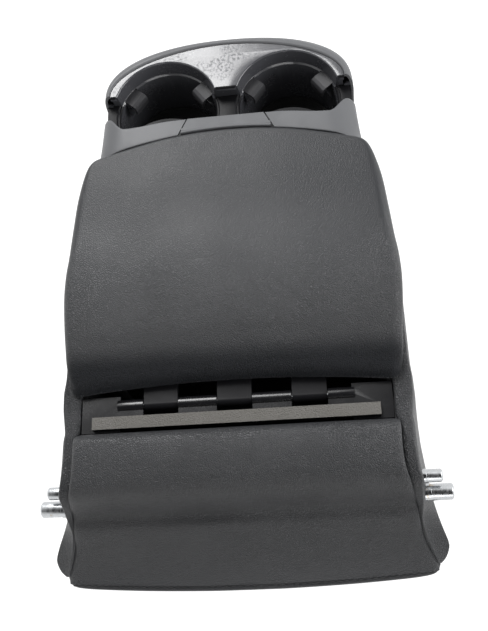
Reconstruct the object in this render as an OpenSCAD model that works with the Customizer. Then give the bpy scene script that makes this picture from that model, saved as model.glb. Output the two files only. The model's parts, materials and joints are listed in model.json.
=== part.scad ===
// Rear seat armrest with a storage lid and a pull-out cup holder, millimetres.
// It lies on its leather underside. X is its width, Y runs to the cup holder, Z is up.

/* [Body] */
// Length of the padded hump over the pivot
rear_len = 100; // [96:1:106]
// Length of the hinge trough between the hump and the lid
trough_len = 33; // [30:1:38]
// Length of the lid along its middle
lid_len = 202; // [190:1:215]
// Width over the side panels beside the lid
side_w = 256; // [250:1:264]
// Width over the two rear lobes
rear_w = 294; // [290:1:300]
// Height of the side panels' upper edge
side_h = 84.8; // [84:0.2:88]
// Height of the hump
hump_h = 95; // [93:1:98]
// Thickness of the padded underside
under_t = 12; // [10:0.5:13]
// Wall of the moulded frame
frame_t = 2.5; // [2:0.1:3]

/* [Pivot] */
// Diameter of the pivot shaft
pivot_d = 12; // [10:0.5:13]
// Length of the pivot shaft over its free ends
pivot_len = 302; // [294:1:306]
// Distance from the rear seam to the pivot shaft
pivot_y = 54; // [53:0.5:56]
// Height of the pivot shaft
pivot_z = 48; // [46:0.5:49]
// Diameter of the stop shaft
stop_d = 9.4; // [8:0.2:10]
// Length of the stop shaft over its free ends
stop_len = 287; // [282:1:292]
// Length of the pivot shaft's turned ends
pivot_end = 14.8; // [10:0.1:15]
// Length of the stop shaft's turned ends
stop_end = 10.3; // [6:0.1:11]
// Offset of the stop shaft from the pivot shaft, forwards and up
stop_step = 10; // [9.5:0.5:12]
// Thickness of the steel bracket
bracket_t = 3; // [2:0.5:4]

/* [Lid] */
// Height of the lid pad at its crown
lid_top = 105; // [103:1:110]
// Thickness of the lid's inner panel
panel_t = 2.5; // [2:0.1:3]
// Height of the hinge pin
hinge_z = 80; // [79:0.5:81]
// Diameter of the hinge pin
hinge_d = 4; // [3:0.5:5]
// Diameter of the fixed hinge barrels
barrel_d = 10; // [9:0.5:11]
// Width of each of the three notches for the lid's barrels
notch_w = 26; // [22:1:28]
// Distance between the middles of the notches
notch_pitch = 54; // [50:1:58]
// Width of the textured bar behind the hinge
bar_w = 9; // [7:0.5:9]
// Height of the textured bar
bar_z = 88; // [87:0.5:88]

/* [Collar and latch] */
// Height of the collar's top strip
strip_h = 100; // [99:0.5:102]
// Width of the strip between the lid and the cups
strip_w = 14; // [13:0.5:18]
// How far the collar's tips stand in front of the strip
horn_len = 11; // [8:1:13]
// Width over the collar's tips
mouth_w = 206; // [204:1:210]
// Wall of the collar
collar_t = 1.6; // [1.4:0.1:1.8]
// Width of the latch lever at its front edge
lever_w = 60; // [52:1:66]
// Diameter of the latch pin
latch_pin_d = 2.5; // [2:0.1:3]

/* [Cup holder] */
// Diameter of a cup recess at its rim
cup_d = 84; // [80:1:85]
// Distance between the middles of the cups
cup_pitch = 99; // [97:1:100]
// Depth of a cup below the front deck
cup_depth = 59; // [54:1:60]
// Height of the front deck
deck_z = 95.5; // [95:0.5:97]
// Gap between the collar's tips and the fascia as shown
drawer_out = 19; // [16:1:24]
// How far the fascia bows out in front of its ends
bow = 52; // [48:1:56]
// Depth of the fascia's top land at its middle
land_w = 11.5; // [10:0.5:13]
// Wall of the cup insert
cup_t = 2; // [1.6:0.1:2.2]
// Height of the rails
rail_h = 12; // [10:0.5:12]
// Distance between the middles of the rails
rail_pitch = 140; // [130:1:150]

/* [Cup tabs] */
// Width of a cup tab
tab_w = 15; // [12:1:17]
// Reach of a cup tab from its pin
tab_reach = 14.5; // [12:0.5:15]
// Diameter of a tab pin
tab_pin_d = 2; // [1.6:0.1:2.2]
// Angle of the two front tabs from the cup's cross line
tab_angle = 36; // [32:1:40]
// Height of the tab pins
tab_z = 79.5; // [78:0.5:79.5]

/* [Clearances] */
// Gap between pieces that seat on each other
seat = 0.3; // [0.25:0.05:0.4]
// Gap round what slides or turns
run = 0.5; // [0.4:0.05:0.6]
// Radial gap between a pin and its bore
bore_gap = 0.05; // [0.03:0.01:0.08]

/* [Hidden] */
$fn = 48;
EPS = 0.01;

// Places along Y, from the rear seam
lid_y0 = rear_len + trough_len;
lid_y1 = lid_y0 + lid_len;
strip_y1 = lid_y1 + strip_w;
horn_y = strip_y1 + horn_len;
step_y = horn_y + drawer_out;
front_y = step_y + bow;
cup_y = step_y - 14;
bar_y = rear_len + 3;
hinge_y = bar_y + bar_w + 9;
lid_corner = 19;
rear_bow = 9;
corner_y = lid_y1 - lid_corner;
ear_x = 98;
frame_y0 = 14;
frame_y1 = corner_y + 6;
tray_y0 = lid_y0 + 3;
rear_wall_y = max(rear_len - 8, pivot_y + 33);
tray_y1 = cup_y - 69;
floor_y1 = strip_y1 + 3;

// Half widths
half_side = side_w / 2;
half_rear = rear_w / 2;
half_mouth = mouth_w / 2;
drawer_half = half_mouth - collar_t - run;
insert_half = drawer_half - 0.8;
tray_half = drawer_half - 15;
frame_half = drawer_half + run + frame_t;

// Heights
floor_z = under_t + seat;
wall_top = side_h - 2.3;
tray_z = 48;
low_z = side_h - 1.3;
bridge_z = low_z + 0.7;
bridge_t = 1.8;
panel_z = bridge_z + bridge_t + 0.6;
lid_low = panel_z - 0.2;
cup_r = cup_d / 2;
cup_x = cup_pitch / 2;
cup_floor = deck_z - cup_depth;
chassis_z = cup_floor - cup_t - seat;
chassis_t = 2.5;
hinge_r = barrel_d / 2;
rail_z = floor_z + frame_t + seat;
runner_z = rail_z + 1.5 + run;

// Latch
latch_y = lid_y1 + 4;
latch_z = strip_h - 5;
lever_flare = 7;
hook_z = panel_z + 0.9;
catch_y = latch_y - 3;

// Cup tabs
tab_r = cup_r + 1.2;
tab_turn = 60;
pocket_r = cup_r + 4;
pocket_low = tab_z - tab_reach - 4;
barrel_r = 2;
TABS = [180 - tab_angle, tab_angle, 270];

// Puts the model's origin under the middle of its length
module seated() { translate([0, -front_y / 2, 0]) children(); }

function lerp(a, b, t) = a + (b - a) * t;
function clamp(x, a, b) = max(a, min(b, x));
function slope(p, i) =
    let (a = max(i - 1, 0), b = min(i + 1, len(p) - 1)) (p[b][1] - p[a][1]) / (p[b][0] - p[a][0]);
function hermite(p, i, x) =
    let (h = p[i + 1][0] - p[i][0], t = clamp((x - p[i][0]) / h, 0, 1))
    (2 * t ^ 3 - 3 * t ^ 2 + 1) * p[i][1] + (t ^ 3 - 2 * t ^ 2 + t) * h * slope(p, i)
    + (3 * t ^ 2 - 2 * t ^ 3) * p[i + 1][1] + (t ^ 3 - t ^ 2) * h * slope(p, i + 1);
function segment(p, x, i = 0) = (i >= len(p) - 2 || x < p[i + 1][0]) ? i : segment(p, x, i + 1);
// Value at x of the smooth curve through the [x, value] pairs of p
function along(p, x) = hermite(p, segment(p, x), x);

// A closed skin between an outer and an inner grid of points
module sheet(outer, inner) {
    n = len(outer);
    m = len(outer[0]);
    k = n * m;
    function id(i, j) = i * m + j;
    function quad(a, b, c, d) = [[a, b, c], [a, c, d]];
    faces = [
        for (i = [0:n - 2], j = [0:m - 2]) each quad(id(i, j), id(i + 1, j), id(i + 1, j + 1), id(i, j + 1)),
        for (i = [0:n - 2], j = [0:m - 2])
            each quad(k + id(i, j), k + id(i, j + 1), k + id(i + 1, j + 1), k + id(i + 1, j)),
        for (i = [0:n - 2]) each quad(id(i, 0), k + id(i, 0), k + id(i + 1, 0), id(i + 1, 0)),
        for (i = [0:n - 2]) each quad(id(i + 1, m - 1), k + id(i + 1, m - 1), k + id(i, m - 1), id(i, m - 1)),
        for (j = [0:m - 2]) each quad(id(0, j + 1), k + id(0, j + 1), k + id(0, j), id(0, j)),
        for (j = [0:m - 2]) each quad(k + id(n - 1, j), k + id(n - 1, j + 1), id(n - 1, j + 1), id(n - 1, j))];
    polyhedron([for (r = outer) each r, for (r = inner) each r], faces, convexity = 8);
}

module both() { for (s = [-1, 1]) scale([s, 1, 1]) children(); }
module mirrored() { children(); mirror([1, 0, 0]) children(); }
// A cylinder along X, centred on x
module rod(d, len, x, y, z) { translate([x, y, z]) rotate([0, 90, 0]) cylinder(d = d, h = len, center = true); }
// A profile of [y, z] points drawn out along X over the given width
module across(points, w, x = 0) {
    translate([x - w / 2, 0, 0]) rotate([90, 0, 90]) linear_extrude(w) polygon(points);
}
module box(a, b) { translate(a) cube(b - a); }
module round_rect(w, y0, y1, r) {
    translate([-w / 2 + r, y0]) square([w - 2 * r, y1 - y0]);
    translate([-w / 2, y0 + r]) square([w, y1 - y0 - 2 * r]);
    for (x = [-w / 2 + r, w / 2 - r], y = [y0 + r, y1 - r]) translate([x, y]) circle(r);
}
// A pan-head screw whose head seats at the origin and whose shank points down
module screw(d, len, head_h) {
    difference() {
        cylinder(d = d * 1.9, h = head_h);
        translate([0, 0, head_h * 0.45]) cylinder(d = d * 0.8, h = head_h, $fn = 6);
    }
    translate([0, 0, -len]) cylinder(d = d, h = len + EPS);
}
// A countersunk screw with its head's face at the origin and its shank pointing down
module flat_screw(d, len) {
    translate([0, 0, -d / 2]) cylinder(d1 = d, d2 = 2 * d, h = d / 2);
    translate([0, 0, -len]) cylinder(d = d, h = len - d / 2 + EPS);
}
// The hole for such a screw, through a wall of thickness t
module sink(d, t) {
    c = 0.15;
    translate([0, 0, -d / 2 - c]) cylinder(d1 = d + 2 * c, d2 = 2 * d + 4 * c, h = d / 2 + 2 * c);
    translate([0, 0, -t - 1]) cylinder(d = d + 2 * c, h = t + 1);
}

// Half width at the seam between the hump and the side panels, then of the recess and the frame
seam_plan = [[0, half_rear - 7], [16, half_rear - 12], [35, half_rear - 18], [46, half_rear - 20.5],
    [60, half_rear - 24], [80, half_rear - 28], [rear_len, half_side - 12], [bar_y, half_side - 14.5],
    [lid_y0 - 3, half_side - 15.5], [lid_y0 + 14, frame_half + seat], [frame_y1, frame_half + seat]];
// Greatest half width of the side panels
side_plan = [[8, half_rear - 6], [11, half_rear - 3], [16, half_rear - 0.5], [21, half_rear],
    [32, half_rear - 4], [50, half_rear - 8.5], [72, half_rear - 12], [rear_len, half_rear - 14.5],
    [lid_y0 + 8, half_side + 1], [lid_y0 + 72, half_side], [lid_y0 + 102, half_side - 2.5],
    [lid_y1 - 49, half_side - 8.5], [corner_y, half_mouth + 5.3]];
// Half width of the lid
lid_plan = [[lid_y0, half_side - 9], [lid_y0 + 12, half_side - 6.2], [lid_y0 + 32, half_side - 5],
    [lid_y0 + 52, half_side - 2.8], [lid_y0 + 72, half_side - 2],
    [lid_y0 + 102, half_side - 4.5], [lid_y1 - 49, half_side - 10], [corner_y, half_mouth + 4]];
// Places along the seam where the frame and the side panels have their corners
seam_ys = [8, 11, 14, 20, 26, 32, 40, 48, 54, 60, 70, 84, rear_len, lid_y0 - 16, lid_y0 - 3, lid_y0 + 5, lid_y0 + 14,
    lid_y0 + 46, lid_y0 + 72, lid_y0 + 100, lid_y0 + 126, lid_y1 - 49, lid_y1 - 32, corner_y - 2];
// Height of the side panels' upper edge
edge_plan = [[8, 16.5], [16, 26], [30, 42], [44, 58], [52, 74], [60, side_h - 2], [80, side_h],
    [lid_y0 - 14, side_h], [corner_y, side_h]];
// The hump's outer line and the line of its seat on the frame, as [y, z]
hump_out = [[rear_len, hump_h - 14], [rear_len - 0.5, hump_h - 7], [rear_len - 5, hump_h - 1.5],
    [rear_len - 14, hump_h], [rear_len - 28, hump_h - 0.5], [pivot_y + 8, hump_h - 2.5], [pivot_y + 1, hump_h - 9],
    [pivot_y - 4, hump_h - 20], [pivot_y - 8, pivot_z + 15], [pivot_y - 17, pivot_z + 4], [24, 36], [12, 23], [3, 15], [0.4, under_t + 0.6]];
hump_in = [[rear_len - 3, hump_h - 14], [rear_len - 5, hump_h - 13.5], [rear_len - 10, hump_h - 13],
    [rear_len - 16, hump_h - 12.5], [rear_len - 24, hump_h - 12.5], [rear_len - 29, hump_h - 14],
    [pivot_y + 11, hump_h - 17], [pivot_y + 6, hump_h - 25], [pivot_y - 2, pivot_z + 12.5], [pivot_y - 12, pivot_z + 0.5], [29, 32], [18, 20],
    [14, under_t + 2], [10, under_t + 0.6]];
// The same seat line as the frame's own outer surface
frame_line = [for (p = hump_in) if (p[1] > floor_z + 3) [p[0] + seat, p[1] - seat]];

module base_frame() color([0.16, 0.16, 0.17]) seated() {
    plan = function (inset) let (ys = [for (y = seam_ys) if (y >= frame_y0 && y < corner_y - 2) y])
        [for (y = [each ys, frame_y1]) [along(seam_plan, y) - seat - inset, max(y, frame_y0 + (y == frame_y0 ? inset : 0))]];
    loop = function (inset) let (p = plan(inset)) [each p, for (i = [len(p) - 1:-1:0]) [-p[i][0], p[i][1]]];
    rear_t = frame_t - 0.3;
    rim = [[frame_y0, floor_z], [frame_line[len(frame_line) - 1][0], frame_line[len(frame_line) - 1][1]],
        for (i = [len(frame_line) - 2:-1:0]) frame_line[i]];
    difference() {
        union() {
            // side walls under a top edge that follows the hump
            intersection() {
                translate([0, 0, floor_z]) linear_extrude(side_h) difference() {
                    polygon(loop(0));
                    polygon([for (p = loop(frame_t)) [p[0], p[1] > frame_y1 - 1 ? p[1] + 1 : p[1]]]);
                }
                across([each rim, [rear_len + seat, wall_top - 2], [lid_y0 - 4, wall_top - 2],
                    [lid_y0, wall_top], [frame_y1, wall_top], [frame_y1, floor_z]], rear_w);
            }
            // plate under the hump
            intersection() {
                translate([0, 0, floor_z]) linear_extrude(side_h) polygon(loop(0));
                across([each frame_line,
                    for (i = [len(frame_line) - 1:-1:0]) [frame_line[i][0] + rear_t * 0.8, frame_line[i][1] - rear_t]],
                    rear_w);
            }
            // floor
            intersection() {
                translate([0, 0, floor_z]) linear_extrude(frame_t) union() {
                    polygon(loop(0));
                    translate([-frame_half + 4, frame_y1 - 1]) square([2 * frame_half - 8, floor_y1 - frame_y1 + 1]);
                }
                box([-rear_w, frame_y0 + 1.2, 0], [rear_w, floor_y1 - 7 - seat, 60]);
            }
            // floor ribs and the cross wall in front of the pivot
            for (x = [-1, 1]) box([x * 38 - 1, 90, floor_z], [x * 38 + 1, floor_y1 - 12, floor_z + 8]);
            for (y = [130:28:tray_y0 + 55]) box([-frame_half + 1, y, floor_z], [frame_half - 1, y + 2, floor_z + 6]);
            box([-frame_half + 1, rear_wall_y, floor_z], [frame_half - 1, rear_wall_y + 2, tray_z + 20]);
            // posts for the tray
            for (p = tray_posts()) translate([p[0], p[1], floor_z])
                cylinder(d = 9, h = wall_top - floor_z - seat);
        }
        for (p = tray_posts()) translate([p[0], p[1], wall_top - 14]) cylinder(d = 3.2, h = 20);
        rod(pivot_d + 5, rear_w, 0, pivot_y, pivot_z);
        rod(stop_d + 5, rear_w, 0, pivot_y + stop_step, pivot_z + stop_step);
        // slots for the bracket's ears
        both() box([ear_x - bracket_t - seat, pivot_y - 14, floor_z + 8], [ear_x + 1.8, pivot_y + 24, pivot_z + 26]);
        for (s = [-1, 1], y = rail_screw_y()) translate([s * rail_pitch / 2, y, 0]) cylinder(d = 3, h = 30);
        for (p = bracket_points()) translate([p[0], p[1], 0]) cylinder(d = 5, h = 30);
    }
}
function tray_posts() = [for (s = [-1, 1], y = [tray_y0 + 5, tray_y1 - 8]) [s * (tray_half + 7), y]];
function rail_screw_y() = [tray_y0 + 70, floor_y1 - 20];
function bracket_points() = [for (s = [-1, 1], y = [pivot_y - 14, pivot_y + 22]) [s * 60, y]];

// Pressed steel cradle that holds both shafts
module pivot_bracket() color([0.62, 0.63, 0.64]) seated() {
    base_z = floor_z + frame_t + seat;
    difference() {
        union() {
            box([-ear_x, pivot_y - 22, base_z], [ear_x, pivot_y + 29, base_z + bracket_t]);
            for (s = [-1, 1]) {
                across([[pivot_y - 12, base_z], [pivot_y - 9, pivot_z + 2], [pivot_y + stop_step + 8, pivot_z + stop_step],
                    [pivot_y + 22, base_z]], bracket_t, s * (ear_x - bracket_t / 2));
                rod(pivot_d + 4.6, bracket_t, s * (ear_x - bracket_t / 2), pivot_y, pivot_z);
                rod(17, bracket_t, s * (ear_x - bracket_t / 2), pivot_y + stop_step, pivot_z + stop_step);
            }
        }
        rod(core_d(pivot_d) + 2 * bore_gap, rear_w, 0, pivot_y, pivot_z);
        rod(core_d(stop_d) + 2 * bore_gap, rear_w, 0, pivot_y + stop_step, pivot_z + stop_step);
        for (p = bracket_points()) translate([p[0], p[1], 0]) cylinder(d = 5.4, h = 60);
        translate([0, pivot_y + 4, 0]) cylinder(d = 30, h = 60);
    }
}
// Diameter of a shaft between its turned ends
function core_d(d) = d + 0.6;
// A shaft along X with turned, chamfered ends
module shaft(d, len, end_len) {
    c = 1.2;
    r = core_d(d) / 2;
    translate([-len / 2, 0, 0]) rotate([0, 90, 0]) rotate_extrude() polygon([[0, 0], [d / 2 - c, 0], [d / 2, c],
        [d / 2, c + end_len], [r, c + end_len], [r, len - c - end_len], [d / 2, len - c - end_len], [d / 2, len - c],
        [d / 2 - c, len], [0, len]]);
}
module pivot_shaft() color([0.8, 0.8, 0.8]) seated() translate([0, pivot_y, pivot_z])
    shaft(pivot_d, pivot_len, pivot_end);
module stop_shaft() color([0.8, 0.8, 0.8]) seated()
    translate([0, pivot_y + stop_step, pivot_z + stop_step]) shaft(stop_d, stop_len, stop_end);
// Retaining rings beside the bracket's ears
module shaft_clips() color([0.3, 0.3, 0.32]) seated() {
    for (s = [-1, 1], q = [[pivot_d, 0], [stop_d, stop_step]])
        translate([s * (ear_x + seat), pivot_y + q[1], pivot_z + q[1]]) rotate([0, s * 90, 0]) difference() {
            cylinder(d = q[0] + 4.6, h = 1);
            translate([0, 0, -1]) cylinder(d = core_d(q[0]) + 2 * bore_gap, h = 3);
            translate([0, -q[0] / 4, -1]) cube([q[0], q[0] / 2, 3]);
        }
}
// Flanged bushes that guide the shafts through the frame's side walls
module shaft_bushes() color([0.85, 0.84, 0.8]) seated() {
    for (s = [-1, 1], q = [[pivot_d, 0], [stop_d, stop_step]]) {
        y = pivot_y + q[1];
        inner_x = along(seam_plan, y + 6) - frame_t - 4;
        translate([s * inner_x, y, pivot_z + q[1]]) rotate([0, s * 90, 0]) difference() {
            cylinder(d = q[0] + 5 - 2 * seat, h = frame_t + 3.2);
            translate([0, 0, -1]) cylinder(d = core_d(q[0]) + 2 * bore_gap, h = frame_t + 8);
        }
    }
}
module bracket_screws() color([0.7, 0.7, 0.7]) seated()
    for (p = bracket_points()) translate([p[0], p[1], floor_z + frame_t + seat + bracket_t + EPS]) screw(4.6, frame_t + bracket_t + 0.4, 2.8);

// Moulding behind the lid with the textured bar and the four fixed barrels
module rear_panel() color([0.2, 0.2, 0.2]) seated() {
    land_x = notch_pitch + notch_w / 2;
    end_x = land_x + 19;
    wing_x = along(seam_plan, lid_y0 - 6) - 0.6;
    bar_half = half_mouth + 0.5;
    plate_z = wall_top - 2 + seat;
    difference() {
        union() {
            box([-bar_half, bar_y, plate_z - 4], [bar_half, bar_y + bar_w, bar_z]);
            // floor of the recess beside the hinge
            both() box([end_x - 2, bar_y - 1.5, plate_z], [wing_x, lid_y0 - 5, plate_z + 2]);
            // trough whose ends slant in from the bar to the barrels
            translate([0, 0, plate_z - 1]) linear_extrude(3.4) polygon([[-bar_half, bar_y + bar_w - 1],
                [bar_half, bar_y + bar_w - 1], [bar_half, bar_y + bar_w], [end_x, hinge_y - 1],
                [end_x, hinge_y], [-end_x, hinge_y], [-end_x, hinge_y - 1], [-bar_half, bar_y + bar_w]]);
            rod(barrel_d, 2 * end_x, 0, hinge_y, hinge_z);
        }
        for (i = [-1:1]) box([i * notch_pitch - notch_w / 2, bar_y + bar_w + 1, 0],
            [i * notch_pitch + notch_w / 2, lid_y0, 99]);
        rod(hinge_d + 2 * bore_gap, rear_w, 0, hinge_y, hinge_z);
    }
}
module hinge_pin() color([0.8, 0.8, 0.8]) seated()
    rod(hinge_d, 2 * (notch_pitch + notch_w / 2 + 18), 0, hinge_y, hinge_z);

// Moulded tray under the lid
module storage_tray() color([0.13, 0.13, 0.14]) seated() {
    wall = 2;
    flange_top = side_h - 0.3;
    difference() {
        union() {
            translate([0, 0, tray_z]) linear_extrude(flange_top - tray_z)
                round_rect(2 * tray_half, tray_y0 + 8, tray_y1, 12);
            translate([0, 0, wall_top]) linear_extrude(flange_top - wall_top)
                round_rect(2 * frame_half - 2, tray_y0, tray_y1 + 1, 6);
        }
        translate([0, 0, tray_z + wall]) linear_extrude(side_h)
            round_rect(2 * (tray_half - wall), tray_y0 + 8 + wall, tray_y1 - wall, 10);
        for (p = tray_posts()) translate([p[0], p[1], wall_top - 1]) cylinder(d = 3.6, h = 9);
        // slots that the lid's hinge arms pass through
        for (i = [-1:1]) box([i * notch_pitch - notch_w / 2, tray_y0 - 1, wall_top - 3.6],
            [i * notch_pitch + notch_w / 2, tray_y0 + 13, side_h]);
    }
}
module tray_mat() color([0.1, 0.1, 0.1]) seated() {
    inset = 3.5;
    difference() {
        translate([0, 0, tray_z + 2 + seat]) linear_extrude(2)
            round_rect(2 * (tray_half - inset), tray_y0 + 8 + inset, tray_y1 - inset, 8.5);
        for (i = [-6:6]) box([i * 12 - 0.6, tray_y0 + 18, tray_z + 3.5], [i * 12 + 0.6, tray_y1 - 10, tray_z + 9]);
    }
}
module tray_screws() color([0.2, 0.2, 0.2]) seated()
    for (p = tray_posts()) translate([p[0], p[1], side_h - 0.3 + EPS]) screw(3, 12, 1.3);

// Grey collar round the cup holder's mouth: top strip, rounded corners and sides
module front_collar() color([0.5, 0.5, 0.51]) seated() {
    rx = 25;
    rz = 21;
    side_w_at = [[corner_y - 6, half_mouth + 5.5], [corner_y, half_mouth + 4.6], [lid_y1, half_mouth + 2],
        [horn_y, half_mouth]];
    front = function (x) let (t = abs(x) / half_mouth)
        t < 0.4 ? strip_y1 - 0.5 * (t / 0.4) ^ 2 :
        t < 0.8 ? lerp(strip_y1 - 0.5, strip_y1 - 4, (1 - cos(180 * (t - 0.4) / 0.4)) / 2) :
        lerp(strip_y1 - 4, horn_y, (1 - cos(180 * min((t - 0.8) / 0.19, 1))) / 2);
    rear = function (x) lid_y1 + 1.2 - lid_corner * (x / (half_mouth + 4)) ^ 2;
    // corner of the hoop at angle a, for a hoop of half width w drawn in by t
    corner = function (w, a, t) [w - rx + (rx - t) * sin(a), strip_h - rz + (rz - t) * cos(a)];
    hoop = function (w, k, t)
        k < 8 ? [k / 8 * (w - rx), strip_h - t] :
        k < 16 ? corner(w, (k - 8) * 90 / 8, t) :
        [w - t, lerp(strip_h - rz, floor_z, (k - 16) / 4)];
    ring = function (k, t, s) let (x_ref = hoop(half_mouth + 2, k, 0)[0],
        y0 = k < 16 ? rear(min(x_ref, half_mouth + 3)) : rear(half_mouth + 3),
        y1 = k < 16 ? front(x_ref) : horn_y)
        [for (f = [1, 0.88, 0.5, 0]) let (y = lerp(y0, y1, f), q = hoop(along(side_w_at, y), k, t))
            [s * q[0], y, q[1] - (f == 1 && t == 0 && k < 12 ? 0.7 : 0)]];
    rings = [for (k = [20:-1:1]) [k, -1], for (k = [0:20]) [k, 1]];
    difference() {
        sheet([for (r = rings) ring(r[0], 0, r[1])], [for (r = rings) ring(r[0], collar_t, r[1])]);
        translate([0, 0, strip_h - 12]) linear_extrude(20) lever_plan(run);
    }
    for (p = strip_posts()) translate([p[0], p[1], bridge_z + bridge_t + seat]) difference() {
        cylinder(d = 6, h = strip_h - collar_t / 2 - bridge_z - bridge_t - seat);
        translate([0, 0, -1]) cylinder(d = 2.5, h = 9);
    }
    // sill that closes the hoop under the drawer
    box([collar_t / 2 - half_mouth, floor_y1 - 7, floor_z], [half_mouth - collar_t / 2, floor_y1, floor_z + frame_t]);
}
// Plan of the latch lever, grown by a gap for its cut-out
module lever_plan(gap) {
    y0 = lid_y1 + 1.8 - (gap > 0 ? 3 : 0);
    y1 = strip_y1 + (gap > 0 ? 3 : 0);
    k = lever_flare / strip_w;
    function half(y) = lever_w / 2 + (strip_y1 - y) * k + gap;
    polygon([[-half(y0), y0], [half(y0), y0], [half(y1), y1], [-half(y1), y1]]);
}

// Plate over the drawer that carries the collar and the latch; its two lips show in front of the strip
module bridge_plate() color([0.1, 0.1, 0.1]) seated() {
    y0 = tray_y1 + 3;
    lip_y = strip_y1 + 10.5;
    base_y = strip_y1 - 4;
    difference() {
        translate([0, 0, bridge_z]) linear_extrude(bridge_t) difference() {
            union() {
                translate([-frame_half + 0.5, y0]) square([2 * frame_half - 1, frame_y1 - y0]);
                translate([-drawer_half, frame_y1 - 1]) square([2 * drawer_half, base_y - frame_y1 + 1]);
                for (s = [-1, 1]) intersection() {
                    translate([s * cup_x, lip_y - cup_r]) circle(cup_r, $fn = 96);
                    translate([s * cup_x - cup_r, base_y - 1]) square([cup_d, 20]);
                }
            }
            translate([-15, y0 + 4]) square([30, latch_y + 6 - y0 - 4]);
        }
        for (p = strip_posts()) translate([p[0], p[1], bridge_z + 0.05]) rotate([180, 0, 0]) sink(2.4, bridge_t);
    }
    // feet on the frame's walls
    both() box([frame_half - frame_t + 0.6, y0, wall_top + seat], [frame_half - 0.5, frame_y1, bridge_z + EPS]);
    // ears of the latch pin
    for (s = [-1, 1]) difference() {
        union() {
            box([s * 25 - 1.5, latch_y - 2.1, bridge_z + EPS], [s * 25 + 1.5, latch_y + 2.1, latch_z]);
            rod(4.2, 3, s * 25, latch_y, latch_z);
        }
        rod(latch_pin_d + 2 * bore_gap, 10, s * 25, latch_y, latch_z);
    }
}
function strip_posts() = [for (s = [-1, 1]) [s * 62, latch_y - 2.5]];
module bridge_screws() color([0.2, 0.2, 0.2]) seated()
    for (p = strip_posts()) translate([p[0], p[1], bridge_z + 0.05]) rotate([180, 0, 0]) flat_screw(2.4, 8);

// Steel channel that a runner slides in
module rail(s) color([0.68, 0.69, 0.7]) seated() {
    rail_w = 13;
    t = 1.5;
    z0 = rail_z;
    y0 = tray_y0 + 60;
    translate([s * rail_pitch / 2, 0, 0]) difference() {
        box([-rail_w / 2, y0, z0], [rail_w / 2, floor_y1 - 8, z0 + rail_h]);
        box([-rail_w / 2 + t, y0 - 1, z0 + t], [rail_w / 2 - t, floor_y1, z0 + rail_h - t]);
        box([-3, y0 - 1, z0 + t], [3, floor_y1, z0 + rail_h + 1]);
        for (y = rail_screw_y()) translate([0, y, rail_z + 1.45]) sink(2.4, 2);
    }
}
module rail_left() rail(-1);
module rail_right() rail(1);
module rail_screws() color([0.7, 0.7, 0.7]) seated()
    for (s = [-1, 1], y = rail_screw_y()) translate([s * rail_pitch / 2, y, rail_z + 1.45]) flat_screw(2.4, 4.3);
// Spring steel clip that holds the drawer at its two ends
module detent_clip() color([0.72, 0.72, 0.72]) seated() {
    z = rail_z;
    y = strip_y1 - 30;
    across([[y - 20, z], [y + 1, z], [y + 9, z + 2.2], [y + 13, z + 5], [y + 17, z + 2.4], [y + 18, z + 3],
        [y + 13, z + 6], [y + 8, z + 3], [y, z + 0.8], [y - 20, z + 0.8]], 12);
}

// Leather hump over the pivot
module rear_pad() color([0.17, 0.17, 0.18]) seated() {
    steps = 6;
    row = function (line, drop, k) [for (p = line)
        [k / steps * (along(seam_plan, p[0]) - seat), p[0], p[1] + drop * (1 - (k / steps) ^ 4)]];
    sheet([for (k = [-steps:steps]) row(hump_out, 1, k)], [for (k = [-steps:steps]) row(hump_in, 0, k)]);
}
// Leather side panel from the rear lobe to the collar
module side_pad(s) color([0.17, 0.17, 0.18]) seated() {
    low_z2 = under_t + seat;
    ys = seam_ys;
    outer = function (y) let (zt = along(edge_plan, y), xi = along(seam_plan, y), xm = along(side_plan, y),
        zm = min(26, lerp(low_z2, zt, 0.45)), bulge = clamp((y - pivot_y - 16) / 50, 0, 1),
        xt = lerp(xi, xm, y > lid_y0 ? 0.82 : lerp(0.1, 0.3, bulge)), xb = lerp(xi, xm, 0.45))
        [[xi, zt], [lerp(xi, xt, 0.6), zt],
            for (t = [0:6]) [lerp(xt, xm, lerp((t / 6) ^ 1.6, sin(15 * t), bulge)),
                lerp(zm, zt - 0.3, lerp(1 - t / 6, cos(15 * t), bulge))],
            for (a = [30:30:90]) [lerp(xm, xb, 1 - cos(a)), lerp(zm, low_z2, sin(a))]];
    inner = function (y) let (zt = along(edge_plan, y), xi = along(seam_plan, y), n = len(outer(y)))
        [for (i = [0:n - 1]) [xi, lerp(zt - 1.5, low_z2 + 0.3, i / (n - 1))]];
    scale([s, 1, 1]) difference() {
        sheet([for (y = ys) [for (p = outer(y)) [p[0], y, p[1]]]], [for (y = ys) [for (p = inner(y)) [p[0], y, p[1]]]]);
        rod(pivot_d + 1.6, rear_w, 150, pivot_y, pivot_z);
        rod(stop_d + 1.6, rear_w, 150, pivot_y + stop_step, pivot_z + stop_step);
    }
}
module side_pad_left() side_pad(-1);
module side_pad_right() side_pad(1);
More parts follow.
